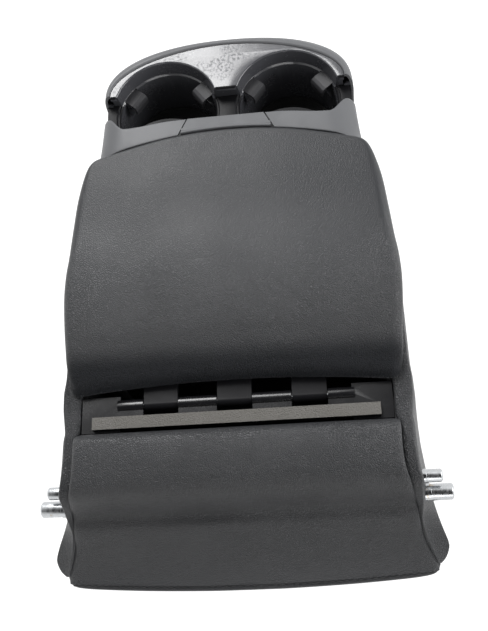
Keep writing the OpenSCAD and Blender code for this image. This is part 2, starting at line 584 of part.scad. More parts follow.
// Leather underside that the armrest rests on
module under_pad() color([0.15, 0.15, 0.16]) seated() {
    ys = [0, 1.5, 5, 12, 24, 40, 60, 84, rear_len + 10, lid_y0 + 20, lid_y0 + 72, lid_y0 + 110, lid_y1 - 49,
        lid_y1 - 26, lid_y1 - 8, floor_y1 - 6, floor_y1];
    us = [-1, -0.985, -0.95, -0.9, -0.6, 0, 0.6, 0.9, 0.95, 0.985, 1];
    half = function (y) y < 8 ? lerp(half_rear - 8, half_rear - 7, y / 8) :
        y < corner_y ? lerp(along(seam_plan, y), along(side_plan, y), 0.45) : frame_half - 3;
    lift = function (y, u) let (e = max(0, (abs(u) - 0.9) / 0.1), r = max(0, 1 - y / 9), f = max(0, 1 - (floor_y1 - y) / 8))
        min(1, sqrt(e ^ 4 + r ^ 4 + f ^ 4)) * (under_t - 2);
    sheet([for (y = ys) [for (u = us) [u * half(y), y, under_t]]],
        [for (y = ys) [for (u = us) [u * half(y), y, lift(y, u)]]]);
}

// Outline of the lid, drawn in all round by inset
function lid_outline(inset) =
    let (ys = [lid_y0 + 2, lid_y0 + 24, lid_y0 + 50, lid_y0 + 80, lid_y0 + 104, lid_y1 - 60, lid_y1 - 38, corner_y],
        half = [for (f = [0.25, 0.5, 0.7, 0.85, 0.95]) let (x = f * (half_side - 6)) [x, rear_of_lid(x) + inset],
            for (y = ys) [along(lid_plan, y) - inset, y - (y == corner_y ? inset : 0)],
            for (f = [0.9, 0.75, 0.5, 0.25]) let (x = f * (half_mouth + 4)) [x, front_of_lid(x) - inset]])
    [[0, rear_of_lid(0) + inset], each half, [0, lid_y1 - inset], for (i = [len(half) - 1:-1:0]) [-half[i][0], half[i][1]]];
function front_of_lid(x) = lid_y1 - lid_corner * (x / (half_mouth + 4)) ^ 2;
function rear_of_lid(x) = lid_y0 + 1 - rear_bow * (x / (half_side - 8)) ^ 2;

// Inner panel of the lid with its three hinge arms
module lid_panel() color([0.12, 0.12, 0.12]) seated() {
    arm_w = notch_w - 2 * run;
    lid_barrel = barrel_d - 2.6;
    arm_top = hinge_z + lid_barrel / 2 - 0.3;
    difference() {
        union() {
            translate([0, 0, panel_z]) linear_extrude(panel_t) polygon(lid_outline(5));
            for (i = [-1:1]) {
                across([[hinge_y, arm_top], [lid_y0 + 6, arm_top + 0.6], [lid_y0 + 9.5, panel_z + 1], [lid_y0 + 20, panel_z + 1],
                    [lid_y0 + 20, panel_z - 2], [lid_y0 + 13, panel_z - 2.6], [lid_y0 + 7, arm_top - 2.2], [lid_y0 + 3, arm_top - 3],
                    [hinge_y, arm_top - 3]], arm_w, i * notch_pitch);
                rod(lid_barrel, arm_w, i * notch_pitch, hinge_y, hinge_z);
            }
            // stiffening ribs that reach down into the tray
            for (x = [-1, 1]) box([x * 45 - 1, tray_y0 + 18, panel_z - 6], [x * 45 + 1, tray_y1 - 8, panel_z + EPS]);
            for (y = [tray_y0 + 30, (tray_y0 + tray_y1) / 2, tray_y1 - 24])
                box([-tray_half + 10, y - 1, panel_z - 6], [tray_half - 10, y + 1, panel_z + EPS]);
        }
        rod(hinge_d + 2 * bore_gap, rear_w, 0, hinge_y, hinge_z);
        for (x = [-6, 6]) translate([x, lid_y1 - 16, 0]) cylinder(d = 2.6, h = 120);
    }
}
// Leather pad of the lid
module lid_pad() color([0.22, 0.22, 0.23]) seated() {
    us = [-1, -0.98, -0.94, -0.85, -0.68, -0.4, 0, 0.4, 0.68, 0.85, 0.94, 0.98, 1];
    vs = [0, 0.015, 0.04, 0.09, 0.17, 0.3, 0.45, 0.6, 0.75, 0.86, 0.93, 0.97, 0.99, 1];
    at = function (u, v) let (y = lerp(lid_y0, lid_y1, v), x = u * along(lid_plan, min(y, corner_y)),
        cut = lid_corner * (abs(x) / (half_mouth + 4)) ^ 2 * max(0, (v - 0.3) / 0.7))
        [x, y - cut + (rear_of_lid(min(abs(x), half_side - 8)) - lid_y0) * (1 - v) ^ 3];
    rise = function (u, v) let (d = lid_y0 + v * lid_len, roll = max(0, 1 - v * lid_len / 42),
        edge = max((abs(u) - 0.9) / 0.1, (v - 0.965) / 0.035, (0.015 - v) / 0.015, 0))
        lid_top - 2.5 * u ^ 2 - 11 * roll ^ 2 - 3.5 * max(0, (v - 0.7) / 0.3) ^ 2 - 6 * min(1, edge) ^ 2;
    difference() {
        sheet([for (u = us) [for (v = vs) let (p = at(u, v)) [p[0], p[1], lid_low]]],
            [for (u = us) [for (v = vs) let (p = at(u, v)) [p[0], p[1], rise(u, v)]]]);
        translate([0, 0, lid_low - 1]) linear_extrude(panel_z + panel_t + seat - lid_low + 1) polygon(lid_outline(4));
        box([-13, lid_y1 - 10, 0], [13, lid_y1 + 5, hook_z + 3]);
    }
}
// Striker plate under the lid's front edge
module lid_catch() color([0.7, 0.7, 0.71]) seated() {
    difference() {
        box([-11, lid_y1 - 24, panel_z - 2.1], [11, catch_y, panel_z - 0.1]);
        for (x = [-6, 6]) translate([x, lid_y1 - 16, 0]) cylinder(d = 2.6, h = 120);
    }
}
module catch_screws() color([0.7, 0.7, 0.7]) seated()
    for (x = [-6, 6]) translate([x, lid_y1 - 16, panel_z - 2.1 - EPS]) rotate([180, 0, 0]) screw(2.4, 4, 0.7);
module lid_buffers() color([0.08, 0.08, 0.08]) seated()
    for (x = [-1, 1], y = [tray_y0 + 14, tray_y1 - 20]) translate([x * (tray_half + 7), y, side_h - 0.3 + seat])
        cylinder(d1 = 6, d2 = 8, h = panel_z - side_h - 0.1);

// Latch lever: lifting its front edge swings the hook off the striker
module latch_lever() color([0.5, 0.5, 0.51]) seated() {
    difference() {
        union() {
            intersection() {
                union() {
                    box([-99, lid_y1, strip_h - 2], [99, strip_y1 - 0.6, strip_h]);
                    box([-99, strip_y1 - 2.6, strip_h - 5.5], [99, strip_y1 - 0.6, strip_h]);
                    rod(3, 200, 0, lid_y1 + 3.4, strip_h - 1.3);
                }
                linear_extrude(200) lever_plan(0);
            }
            rod(5.4, 44, 0, latch_y, latch_z);
            box([-22, latch_y - 1.8, latch_z], [22, latch_y + 2.5, strip_h - 1]);
            // hook arm and its nose over the striker
            box([-9, latch_y + 0.3, hook_z], [9, latch_y + 2.6, latch_z]);
            box([-9, catch_y - 1.6, hook_z], [9, latch_y + 0.4, hook_z + 2]);
        }
        rod(latch_pin_d + 2 * bore_gap, 60, 0, latch_y, latch_z);
        // room for the spring
        for (s = [-1, 1]) box([s * 16 - 3, latch_y - 4, latch_z - 4], [s * 16 + 3, latch_y + 4, strip_h - 2.2]);
    }
}
module latch_pin() color([0.8, 0.8, 0.8]) seated() rod(latch_pin_d, 53, 0, latch_y, latch_z);

// A coil of round wire along X, its middle at the origin
module coil(r, wire, turns, pitch) {
    n = 10;
    sides = 6;
    steps = turns * n;
    function centre(i) = let (a = i * 360 / n) [(i / n - turns / 2) * pitch, r * cos(a), r * sin(a)];
    function ring(i) = let (a = i * 360 / n, c = centre(i))
        [for (j = [0:sides - 1]) let (b = j * 360 / sides) c + wire / 2 * [sin(b), cos(b) * cos(a), cos(b) * sin(a)]];
    faces = [
        for (i = [0:steps - 1], j = [0:sides - 1]) let (k = (j + 1) % sides)
            each [[i * sides + j, i * sides + k, (i + 1) * sides + k], [i * sides + j, (i + 1) * sides + k, (i + 1) * sides + j]],
        [for (j = [sides - 1:-1:0]) j],
        [for (j = [0:sides - 1]) steps * sides + j]];
    polyhedron([for (i = [0:steps]) each ring(i)], faces);
}
module latch_spring() color([0.75, 0.75, 0.76]) seated()
    for (s = [-1, 1]) translate([s * 16, latch_y, latch_z]) coil(latch_pin_d / 2 + 0.6, 0.6, 4, 1);

// Points of the fascia's plan from its left end to its right end; f runs from the inner to the outer line
function bow_points(f, n = 28) = [for (i = [0:n]) let (a = 180 - i * 180 / n, c = cos(a), s = sin(a),
    e = 2 / lerp(1.9, 2.5, clamp(f, 0, 1)), half = lerp(half_mouth - 7.5, half_mouth, f), out = lerp(bow - land_w, bow, f))
    [half * sign(c) * abs(c) ^ e, step_y + out * s ^ e]];

// Drawer floor with its two runners and the wall that carries the fascia
module drawer_chassis() color([0.11, 0.11, 0.12]) seated() {
    y0 = cup_y - cup_r - 4;
    runner_y0 = tray_y0 + 82;
    runner_h = rail_h - 3 - 2 * run;
    wall_f = [0.4, 0.62];
    difference() {
        union() {
            translate([0, 0, chassis_z - chassis_t]) linear_extrude(chassis_t) union() {
                polygon(bow_points(wall_f[0]));
                translate([-drawer_half, y0]) square([2 * drawer_half, step_y - y0 - seat]);
                translate([6 - drawer_half, step_y - 2]) square([2 * drawer_half - 12, 3]);
            }
            translate([0, 0, chassis_z - chassis_t]) linear_extrude(deck_z - 16 - chassis_z) polygon(concat(
                bow_points(wall_f[1]), [for (i = [28:-1:0]) bow_points(wall_f[0])[i]]));
            for (s = [-1, 1]) translate([s * rail_pitch / 2, 0, 0]) {
                box([-4.5, runner_y0, runner_z], [4.5, step_y, runner_z + runner_h]);
                box([-2.3, y0, runner_z], [2.3, step_y, chassis_z - 1]);
            }
            // detent rib
            box([-7, strip_y1 - 50, rail_z + 6.6], [7, step_y, rail_z + 9]);
            for (x = [-7, 5]) box([x, y0, rail_z + 6.6], [x + 2, step_y, chassis_z - 1]);
        }
        for (p = insert_points()) translate([p[0], p[1], 0]) cylinder(d = 3, h = 60);
    }
}
function insert_points() = [[-88, cup_y - 30], [88, cup_y - 30], [0, cup_y + 34], [0, cup_y - 30]];
module insert_screws() color([0.2, 0.2, 0.2]) seated()
    for (p = insert_points()) translate([p[0], p[1], chassis_z - chassis_t - EPS]) rotate([180, 0, 0])
        screw(2.6, 7, 1.4);
// Low-friction pads on the runners' sides
module glide_pads() color([0.9, 0.9, 0.88]) seated() {
    for (s = [-1, 1], e = [-1, 1], y = [tray_y0 + 90, tray_y0 + 140])
        box([s * rail_pitch / 2 + e * 4.68 - 0.18, y, runner_z + 1], [s * rail_pitch / 2 + e * 4.68 + 0.18, y + 14, runner_z + 5]);
}

// Hollow of one cup: tapered wall with a step at the tabs and a rounded rim at height top
module cup_hollow(top) {
    fillet = 1.4;
    wide = cup_r - 0.8;
    low_r = cup_r - 4.2;
    step_z = tab_z + 2.6;
    rotate_extrude($fn = 96) polygon([[0, cup_floor], [low_r, cup_floor], [cup_r - 2.2, step_z - 1.2], [wide - 0.2, step_z],
        [cup_r - (deck_z - top) * 0.06, top - fillet],
        for (a = [0:22.5:90]) [cup_r + fillet * (1 - cos(a)), top - fillet + fillet * sin(a)],
        [cup_r + fillet, top + 30], [0, top + 30]]);
}
// Places children at a tab's pin: +X points to the cup's middle, Y lies along the pin
module at_tab(s, a) {
    translate([s * cup_x, cup_y, tab_z]) rotate([0, 0, a]) translate([tab_r, 0, 0]) rotate([0, 0, 180]) children();
}
module each_tab() { for (s = [-1, 1], a = TABS) at_tab(s, a) children(); }

// Glossy black insert with the two cups; behind the fascia's ends its deck steps down under the collar
module cup_insert() color([0.05, 0.05, 0.06]) seated() {
    y0 = cup_y - cup_r - 3.5;
    skirt = cup_floor - cup_t;
    pocket_w = tab_w + 2 * seat;
    difference() {
        union() {
            // front deck with a rounded rear edge
            translate([0, 0, deck_z - 2.5]) linear_extrude(2.5) polygon(bow_points(-0.04));
            rod(5, 2 * half_mouth - 15.6, 0, step_y, deck_z - 2.5);
            // low deck, the wall of the step and the side and rear walls
            box([-insert_half, y0, low_z - 2.5], [insert_half, step_y - seat, low_z]);
            box([-half_mouth + 8.6, step_y - 1, low_z - 2.5], [half_mouth - 8.6, step_y + 1.4, deck_z - 1]);
            both() box([insert_half - 2.2, y0, chassis_z + seat], [insert_half, step_y - seat, low_z]);
            both() rod_y(5, insert_half - 2.5, step_y - 2, low_z + 1, 2 - seat);
            box([-insert_half, y0, chassis_z + seat], [insert_half, y0 + 2, low_z]);
            for (s = [-1, 1]) translate([s * cup_x, cup_y, 0]) {
                translate([0, 0, skirt]) cylinder(r = cup_r + cup_t - 0.6, h = low_z - skirt, $fn = 96);
                translate([0, 0, low_z - 3]) intersection() {
                    cylinder(r = cup_r + cup_t, h = deck_z - low_z + 2, $fn = 96);
                    translate([-60, 14, -1]) cube([120, 60, 30]);
                }
            }
            // housings of the tab pockets
            each_tab() translate([-(pocket_r - tab_r) - 1.5, -pocket_w / 2 - 2, pocket_low - tab_z - 1.5])
                cube([8, pocket_w + 4, low_z - pocket_low + 1.4]);
            // screw bosses
            for (p = insert_points()) translate([p[0], p[1], chassis_z + seat])
                cylinder(d = 8, h = (p[1] > step_y ? deck_z : low_z) - chassis_z - seat - 1);
        }
        for (s = [-1, 1]) translate([s * cup_x, cup_y, 0]) {
            intersection() {
                cup_hollow(deck_z);
                translate([-70, step_y - cup_y - 1, 0]) cube([140, 80, 200]);
            }
            intersection() {
                cup_hollow(low_z);
                translate([-70, -70, 0]) cube([140, 70 + step_y - cup_y - 1 + EPS, 200]);
            }
        }
        each_tab() {
            translate([-(pocket_r - tab_r), -pocket_w / 2, pocket_low - tab_z])
                cube([pocket_r - tab_r + 8, pocket_w, low_z - 1.6 - pocket_low]);
            rotate([90, 0, 0]) cylinder(d = tab_pin_d + 2 * bore_gap, h = pocket_w + 2.4, center = true);
        }
        for (p = insert_points()) translate([p[0], p[1], 0]) cylinder(d = 2.7, h = chassis_z + 9);
    }
}
// A cylinder along Y over [y, y + len]
module rod_y(d, x, y, z, len) { translate([x, y, z]) rotate([-90, 0, 0]) cylinder(d = d, h = len); }

// Grey bowed fascia
module drawer_fascia() color([0.5, 0.5, 0.51]) seated() {
    top = deck_z + 0.8;
    low = floor_z + 4;
    // [share from the inner to the outer line, height]
    skin_out = [[0, deck_z - 0.3], [0.06, top - 0.1], [0.16, top + 0.3], [0.32, top - 0.4], [0.55, top - 3], [0.75, top - 7],
        [0.9, top - 13], [1, top - 22], [1, top - 40], [0.95, low + 26], [0.84, low + 10], [0.66, low]];
    skin_in = [[0, deck_z - 2.4], [0.06, deck_z - 2.6], [0.16, top - 3.2], [0.3, top - 4.2], [0.46, top - 7], [0.58, top - 10.5],
        [0.68, top - 15.5], [0.74, top - 23], [0.74, top - 40], [0.7, low + 26], [0.66, low + 12], [0.6, low + 1]];
    grid = function (skin) [for (q = skin) [for (p = bow_points(q[0])) [p[0], p[1], q[1]]]];
    difference() {
        sheet(grid(skin_in), grid(skin_out));
        for (x = [-200, 150]) box([x, step_y - 9, 0], [x + 50, step_y, 200]);
    }
}

module cup_mat(s) color([0.07, 0.07, 0.07]) seated() translate([s * cup_x, cup_y, cup_floor + seat / 3]) {
    r = cup_r - 4.6;
    rotate_extrude($fn = 96) polygon([[0, 0], [r - 0.6, 0], [r - 0.6, 2.4], [r - 2, 2.4], [r - 2.6, 1.4],
        for (i = [5:-1:1]) each [[i * 5.6 + 0.8, 1.4], [i * 5.6 + 0.4, 2], [i * 5.6 - 0.4, 2], [i * 5.6 - 0.8, 1.4]], [0, 1.4]]);
}
module cup_mat_left() cup_mat(-1);
module cup_mat_right() cup_mat(1);

// One spring tab: barrel, sloping plate and turned-down nose
module tab(s, a) color([0.22, 0.22, 0.23]) seated() at_tab(s, a) {
    t = 1.8;
    nose = 9;
    difference() {
        union() {
            rotate([90, 0, 0]) cylinder(r = barrel_r, h = tab_w, center = true);
            rotate([90, 0, 0]) linear_extrude(tab_w, center = true) polygon([[0, barrel_r], [tab_reach - 4, 1.2],
                [tab_reach - 1.4, 0.2], [tab_reach - 0.3, -1.6], [tab_reach, -4], [tab_reach - 0.4, -nose], [tab_reach - 1.8, -nose],
                [tab_reach - t, -4], [tab_reach - t - 0.5, -2.4], [tab_reach - t - 2.2, -0.8], [0.5, 0]]);
        }
        rotate([90, 0, 0]) cylinder(d = tab_pin_d + 2 * bore_gap, h = tab_w + 1, center = true);
        // gap for the spring
        translate([-3, -2.8, -3]) cube([5.2, 5.6, 6]);
    }
}
module tab_left_outer() tab(-1, TABS[0]);
module tab_left_inner() tab(-1, TABS[1]);
module tab_left_rear() tab(-1, TABS[2]);
module tab_right_outer() tab(1, TABS[1]);
module tab_right_inner() tab(1, TABS[0]);
module tab_right_rear() tab(1, TABS[2]);
module tab_pins() color([0.8, 0.8, 0.8]) seated() each_tab() rotate([90, 0, 0])
    cylinder(d = tab_pin_d, h = tab_w + 2 * seat + 2, center = true);
module tab_springs() color([0.75, 0.75, 0.76]) seated() each_tab() rotate([0, 0, 90])
    coil(tab_pin_d / 2 + 0.55, 0.5, 4, 1);

base_frame();
pivot_bracket();
pivot_shaft();
stop_shaft();
shaft_clips();
shaft_bushes();
bracket_screws();
rear_panel();
hinge_pin();
storage_tray();
tray_mat();
tray_screws();
front_collar();
bridge_plate();
bridge_screws();
rail_left();
rail_right();
rail_screws();
detent_clip();
rear_pad();
side_pad_left();
side_pad_right();
under_pad();
lid_panel();
lid_pad();
lid_catch();
catch_screws();
lid_buffers();
latch_lever();
latch_pin();
latch_spring();
drawer_chassis();
cup_insert();
drawer_fascia();
cup_mat_left();
cup_mat_right();
insert_screws();
glide_pads();
tab_pins();
tab_springs();
tab_left_outer();
tab_left_inner();
tab_left_rear();
tab_right_outer();
tab_right_inner();
tab_right_rear();
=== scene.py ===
"""Rear seat armrest: leather, mouldings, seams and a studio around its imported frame."""
import json
import math

import bmesh
import bpy
from bpy.props import FloatProperty, FloatVectorProperty, PointerProperty
from mathutils import Matrix, Vector, noise


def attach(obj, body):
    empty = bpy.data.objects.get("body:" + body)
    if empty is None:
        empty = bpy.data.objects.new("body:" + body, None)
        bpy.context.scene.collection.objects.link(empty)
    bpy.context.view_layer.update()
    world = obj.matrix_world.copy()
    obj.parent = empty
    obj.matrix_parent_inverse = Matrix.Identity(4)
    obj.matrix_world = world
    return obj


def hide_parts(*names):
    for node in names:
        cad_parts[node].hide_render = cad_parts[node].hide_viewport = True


bl_info = {
    "name": "Rear seat armrest",
    "version": (1, 0, 0),
    "blender": (4, 5, 0),
    "location": "View3D > Sidebar > Armrest",
    "description": "Leather, mouldings, seams and a studio for a rear seat armrest with cup holder",
    "category": "Object",
}

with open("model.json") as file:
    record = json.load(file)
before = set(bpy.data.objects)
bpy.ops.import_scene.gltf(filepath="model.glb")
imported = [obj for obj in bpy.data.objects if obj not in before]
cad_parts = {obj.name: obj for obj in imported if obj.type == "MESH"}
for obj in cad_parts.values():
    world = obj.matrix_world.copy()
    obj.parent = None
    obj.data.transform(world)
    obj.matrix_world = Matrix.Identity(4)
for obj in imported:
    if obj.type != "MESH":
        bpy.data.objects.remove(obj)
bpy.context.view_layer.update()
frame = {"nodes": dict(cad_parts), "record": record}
NODES = frame["nodes"]
RECORD = frame["record"]
BODY_OF = {n: body for body, nodes in RECORD["behaviour"]["bodies"].items() for n in nodes}
SLOT_OF = {part["node"]: part["material_slot"] for part in RECORD["subparts"]}

# Lengths are in millimetres, with Y counted from the rear seam, and MM turns them into the frame's metres
MM = 0.001
MID_Y = 215.5
MERGE_WITHIN = MM / 200
# Underside, and the seam that closes the leather above it
UNDER_T = 12.0
SEAM_GAP = 0.3
SEAM_Z = UNDER_T + SEAM_GAP
# Lid
LID_Y0 = 133.0
LID_Y1 = 335.0
LID_TOP = 105.0
LID_LOW = 86.6
LID_CORNER = 19.0
CORNER_Y = LID_Y1 - LID_CORNER
# Collar: the strip in front of the lid, and the horns beside the cups
COLLAR_T = 1.6
STRIP_Y1 = 349.0
STRIP_H = 100.0
HORN_Y = 360.0
HALF_MOUTH = 103.0
# Cup holder: the step at the rear of its deck, and the fascia that bows out from there
STEP_Y = 379.0
DECK_Z = 95.5
BOW = 52.0
LAND_W = 11.5
# Solid faces that meet at less than FLAT_ANGLE are merged, and edges sharper than SHARP_ANGLE are rounded
FLAT_ANGLE = math.radians(0.6)
SHARP_ANGLE = math.radians(32.0)

# Half widths and heights along the length, as (y, value)
SEAM_PLAN = ((-3, 139.5), (4, 138.8), (10, 137), (16, 133.5), (26, 128.5), (37, 125.7), (44, 124.8),
             (50, 122), (57, 119.5), (66, 117), (80, 116), (98, 116), (103, 113.5), (130, 112.5),
             (147, 104.2), (322, 104.2))
SIDE_PLAN = ((8, 141), (11, 144), (16, 146.5), (21, 147), (32, 143), (50, 138.5), (72, 135), (100, 132.5),
             (141, 129), (205, 128), (235, 125.5), (286, 119.5), (316, 108.3))
EDGE_PLAN = ((8, 16.5), (16, 26), (30, 42), (44, 58), (52, 74), (60, 82.8), (80, 84.8), (119, 84.8),
             (316, 84.8))
# The hump's profile and the line of its seat, as (y, z)
HUMP_OUT = ((100, 81), (99.5, 88), (95, 93.5), (86, 95), (72, 94.5), (62, 92.5), (55, 86), (50, 75),
            (46, 63), (37, 52), (24, 36), (12, 23), (2.6, 15), (-0.4, 12.6))
HUMP_IN = ((97, 81), (95, 81.5), (90, 82), (84, 82.5), (76, 82.5), (71, 81), (65, 78), (60, 70),
           (52, 60.5), (42, 48.5), (29, 32), (18, 20), (14, 14), (10, 12.6))
# Right halves of outlines from their rear middle to their front middle, as (x, y)
LID_OUTLINE = ((0, 134.5), (30, 134), (60, 132.6), (90, 130.4), (104, 129), (111, 128.4), (115.3, 129),
               (118, 131.2), (119.6, 135), (121, 141), (122.3, 150), (123.2, 163), (125, 184), (126, 205),
               (125.2, 222), (123.5, 235), (121, 260), (118, 286), (114, 302), (110.5, 311),
               (107, 315.6), (102.5, 318.2), (95, 320.3), (80, 324.4), (53, 330.3), (25, 334), (0, 335))
UNDER_OUTLINE = ((0, -6), (30, -5.8), (74, -4.4), (112, -2.2), (130, -0.4), (136.5, 1.6), (139.5, 5.5),
                 (140.8, 12), (140.2, 21), (136, 32), (131.5, 50), (127.5, 72), (123.5, 100), (118, 141),
                 (115, 205), (113.8, 235), (111, 286), (105, 320), (101.5, 338), (99.5, 348), (95, 351.6),
                 (60, 352), (0, 352))


def hermite(a, lead, b, trail, t):
    """The cubic from a to b that leaves along lead and arrives along trail."""
    return (a * (2 * t ** 3 - 3 * t ** 2 + 1) + lead * (t ** 3 - 2 * t ** 2 + t)
            + b * (3 * t ** 2 - 2 * t ** 3) + trail * (t ** 3 - t ** 2))


def smooth_value(table, x):
    """The value at x of the smooth curve through the (x, value) pairs of table."""
    i = 0
    while i < len(table) - 2 and x >= table[i + 1][0]:
        i += 1

    def slope(k):
        a, b = max(k - 1, 0), min(k + 1, len(table) - 1)
        return (table[b][1] - table[a][1]) / (table[b][0] - table[a][0])

    (x0, value0), (x1, value1) = table[i:i + 2]
    span = x1 - x0
    return hermite(value0, span * slope(i), value1, span * slope(i + 1), ramp(x, x0, x1))


def curve_through(points, per_span):
    """A smooth open curve through 2-D points, with per_span steps between each pair."""
    out = []
    last = len(points) - 1
    for i in range(last):
        places = (max(i - 1, 0), i, i + 1, min(i + 2, last))
        before, a, b, after = (Vector(points[k]) for k in places)
        length = (b - a).length
        lead = (b - before) * (length / ((a - before).length + length))
        trail = (after - a) * (length / ((after - b).length + length))
        out += [hermite(a, lead, b, trail, k / per_span) for k in range(per_span)]
    out.append(Vector(points[last]))
    return out


def mirrored_loop(points, per_span):
    """A closed smooth outline from the points of its right half."""
    half = curve_through(points, per_span)
    return half + [Vector((-p.x, p.y)) for p in reversed(half[1:-1])]


def lerp(a, b, t):
    return a + (b - a) * t


def ramp(x, start, end):
    """How far x has come from start to end, held between 0 and 1."""
    return min(max((x - start) / (end - start), 0.0), 1.0)


def ease(t):
    """A step from 0 to 1 that starts and ends level."""
    return (1 - math.cos(math.pi * t)) / 2


def bell(distance, reach):
    """One at no distance, fading to nothing well past the reach."""
    return math.exp(-(distance / reach) ** 2)


def frame_y(y):
    """A place along the length in millimetres from the rear seam, in the frame's metres."""
    return (y - MID_Y) * MM


def spread(low, high, count):
    """count + 1 even steps from low to high."""
    return [lerp(low, high, i / count) for i in range(count + 1)]


def to_model(x, y, z):
    """A point in millimetres from the rear seam, in the frame's metres."""
    return Vector((x * MM, frame_y(y), z * MM))


def add_object(name, data):
    """A new object in the scene, at the origin."""
    obj = bpy.data.objects.new(name, data)
    bpy.context.collection.objects.link(obj)
    return obj


def round_off(distance, radius):
    """How far a rounded edge of the given radius has dropped at a distance from the edge."""
    if distance >= radius:
        return 0.0
    return radius - math.sqrt(max(radius ** 2 - (radius - distance) ** 2, 0.0))


def wave(x, y, scale, seed):
    """Soft noise from -1 to 1 over a surface, repeatable."""
    return noise.noise(Vector((x / scale, y / scale, seed)))


def mesh_piece(name, points, faces, material):
    """A smooth mesh from points in millimetres, with its doubles merged and its faces turned outwards."""
    mesh = bpy.data.meshes.new(name)
    mesh.from_pydata([to_model(*p) for p in points], [], faces)
    bm = bmesh.new()
    bm.from_mesh(mesh)
    bmesh.ops.remove_doubles(bm, verts=bm.verts, dist=MERGE_WITHIN)
    bmesh.ops.recalc_face_normals(bm, faces=bm.faces)
    bm.to_mesh(mesh)
    bm.free()
    mesh.shade_smooth()
    mesh.materials.append(material)
    return add_object(name, mesh)


def shell(name, outer, inner, slot):
    """A closed skin between an outer and an inner grid of points."""
    rows, columns = len(outer), len(outer[0])
    points = [p for row in outer + inner for p in row]
    behind = rows * columns

    def at(i, j):
        return i * columns + j

    faces = []
    for i in range(rows - 1):
        for j in range(columns - 1):
            quad = (at(i, j), at(i + 1, j), at(i + 1, j + 1), at(i, j + 1))
            faces.append(quad)
            faces.append(tuple(behind + v for v in reversed(quad)))
    border = [at(i, 0) for i in range(rows)]
    border += [at(rows - 1, j) for j in range(1, columns)]
    border += [at(i, columns - 1) for i in range(rows - 2, -1, -1)]
    border += [at(0, j) for j in range(columns - 2, 0, -1)]
    for a, b in zip(border, border[1:] + border[:1]):
        faces.append((b, a, behind + a, behind + b))
    return mesh_piece(name, points, faces, material_of(slot))


def stacked_rings(name, rings, slot):
    """A closed form from rings of equal count, with a fan over the first and the last."""
    count = len(rings[0])
    points = [p for ring in rings for p in ring]
    faces = []
    for i in range(len(rings) - 1):
        for j in range(count):
            k = (j + 1) % count
            faces.append((i * count + j, i * count + k, (i + 1) * count + k, (i + 1) * count + j))
    for ring, start in ((rings[0], 0), (rings[-1], (len(rings) - 1) * count)):
        middle = len(points)
        points.append(tuple(sum(p[axis] for p in ring) / count for axis in range(3)))
        faces += [(start + j, start + (j + 1) % count, middle) for j in range(count)]
    return mesh_piece(name, points, faces, material_of(slot))


def inset_loop(loop, distance, shares=None):
    """A closed counter-clockwise loop of 2-D points moved inwards, each by its own share if given."""
    out = []
    for i, point in enumerate(loop):
        along = (loop[(i + 1) % len(loop)] - loop[i - 1]).normalized()
        share = shares[i] if shares else 1.0
        out.append(point + Vector((-along.y, along.x)) * distance * share)
    return out


def dress(obj, body, slot, *replaced):
    """Hands a finished piece to the frame."""
    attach(obj, body)
    if replaced:
        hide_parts(*replaced)


def refined(node_name, width, material=None):
    """A copy of a CAD node with merged faces, smooth curves and rounded edges, in place of the node."""
    name = "dressed_" + node_name
    mesh = NODES[node_name].data.copy()
    mesh.name = name
    mesh.materials.clear()
    mesh.materials.append(material or material_of(SLOT_OF[node_name]))
    bm = bmesh.new()
    bm.from_mesh(mesh)
    bmesh.ops.remove_doubles(bm, verts=bm.verts, dist=MERGE_WITHIN)
    bmesh.ops.dissolve_limit(bm, angle_limit=FLAT_ANGLE, verts=bm.verts, edges=bm.edges)
    bm.to_mesh(mesh)
    bm.free()
    mesh.shade_smooth()
    mesh.set_sharp_from_angle(angle=SHARP_ANGLE)
    obj = add_object(name, mesh)
    bevel = obj.modifiers.new("Edges", "BEVEL")
    bevel.width = width * MM
    bevel.segments = 2
    bevel.limit_method = "ANGLE"
    bevel.angle_limit = SHARP_ANGLE
    bevel.harden_normals = True
    dress(obj, BODY_OF[node_name], SLOT_OF[node_name], node_name)
    return obj


def apply_modifiers(obj):
    """Makes what an object's modifiers give its own plain mesh."""
    graph = bpy.context.evaluated_depsgraph_get()
    result = bpy.data.meshes.new_from_object(obj.evaluated_get(graph))
    obj.modifiers.clear()
    obj.data = result


def cut_away(obj, cutter):
    """Cuts one closed mesh out of another and removes the cutter."""
    boolean = obj.modifiers.new("Cut", "BOOLEAN")
    boolean.operation = "DIFFERENCE"
    boolean.solver = "EXACT"
    boolean.object = cutter
    apply_modifiers(obj)
    bpy.data.objects.remove(cutter)


# Shader building blocks


def set_inputs(tree, node, inputs):
    """Sets or links a node's inputs."""
    for key, value in inputs.items():
        if isinstance(value, bpy.types.NodeSocket):
            tree.links.new(value, node.inputs[key])
        else:
            node.inputs[key].default_value = value


def add_node(tree, kind, inputs=None, **settings):
    """Adds a node, sets its properties, and sets or links its inputs."""
    made = tree.nodes.new(kind)
    for key, value in settings.items():
        setattr(made, key, value)
    set_inputs(tree, made, inputs or {})
    return made


def math_node(tree, operation, a, b=0.0, c=0.0):
    return add_node(tree, "ShaderNodeMath", {0: a, 1: b, 2: c}, operation=operation).outputs[0]


def times(tree, a, b):
    return math_node(tree, "MULTIPLY", a, b)


def remap(tree, value, low, high, to_low=0.0, to_high=1.0):
    """Eases a value between low and high into one between to_low and to_high."""
    inputs = {"Value": value, "From Min": low, "From Max": high, "To Min": to_low, "To Max": to_high}
    return add_node(tree, "ShaderNodeMapRange", inputs, interpolation_type="SMOOTHSTEP").outputs["Result"]


def noise_node(tree, place, scale, detail, roughness=0.5):
    inputs = {"Vector": place, "Scale": scale, "Detail": detail, "Roughness": roughness}
    return add_node(tree, "ShaderNodeTexNoise", inputs)


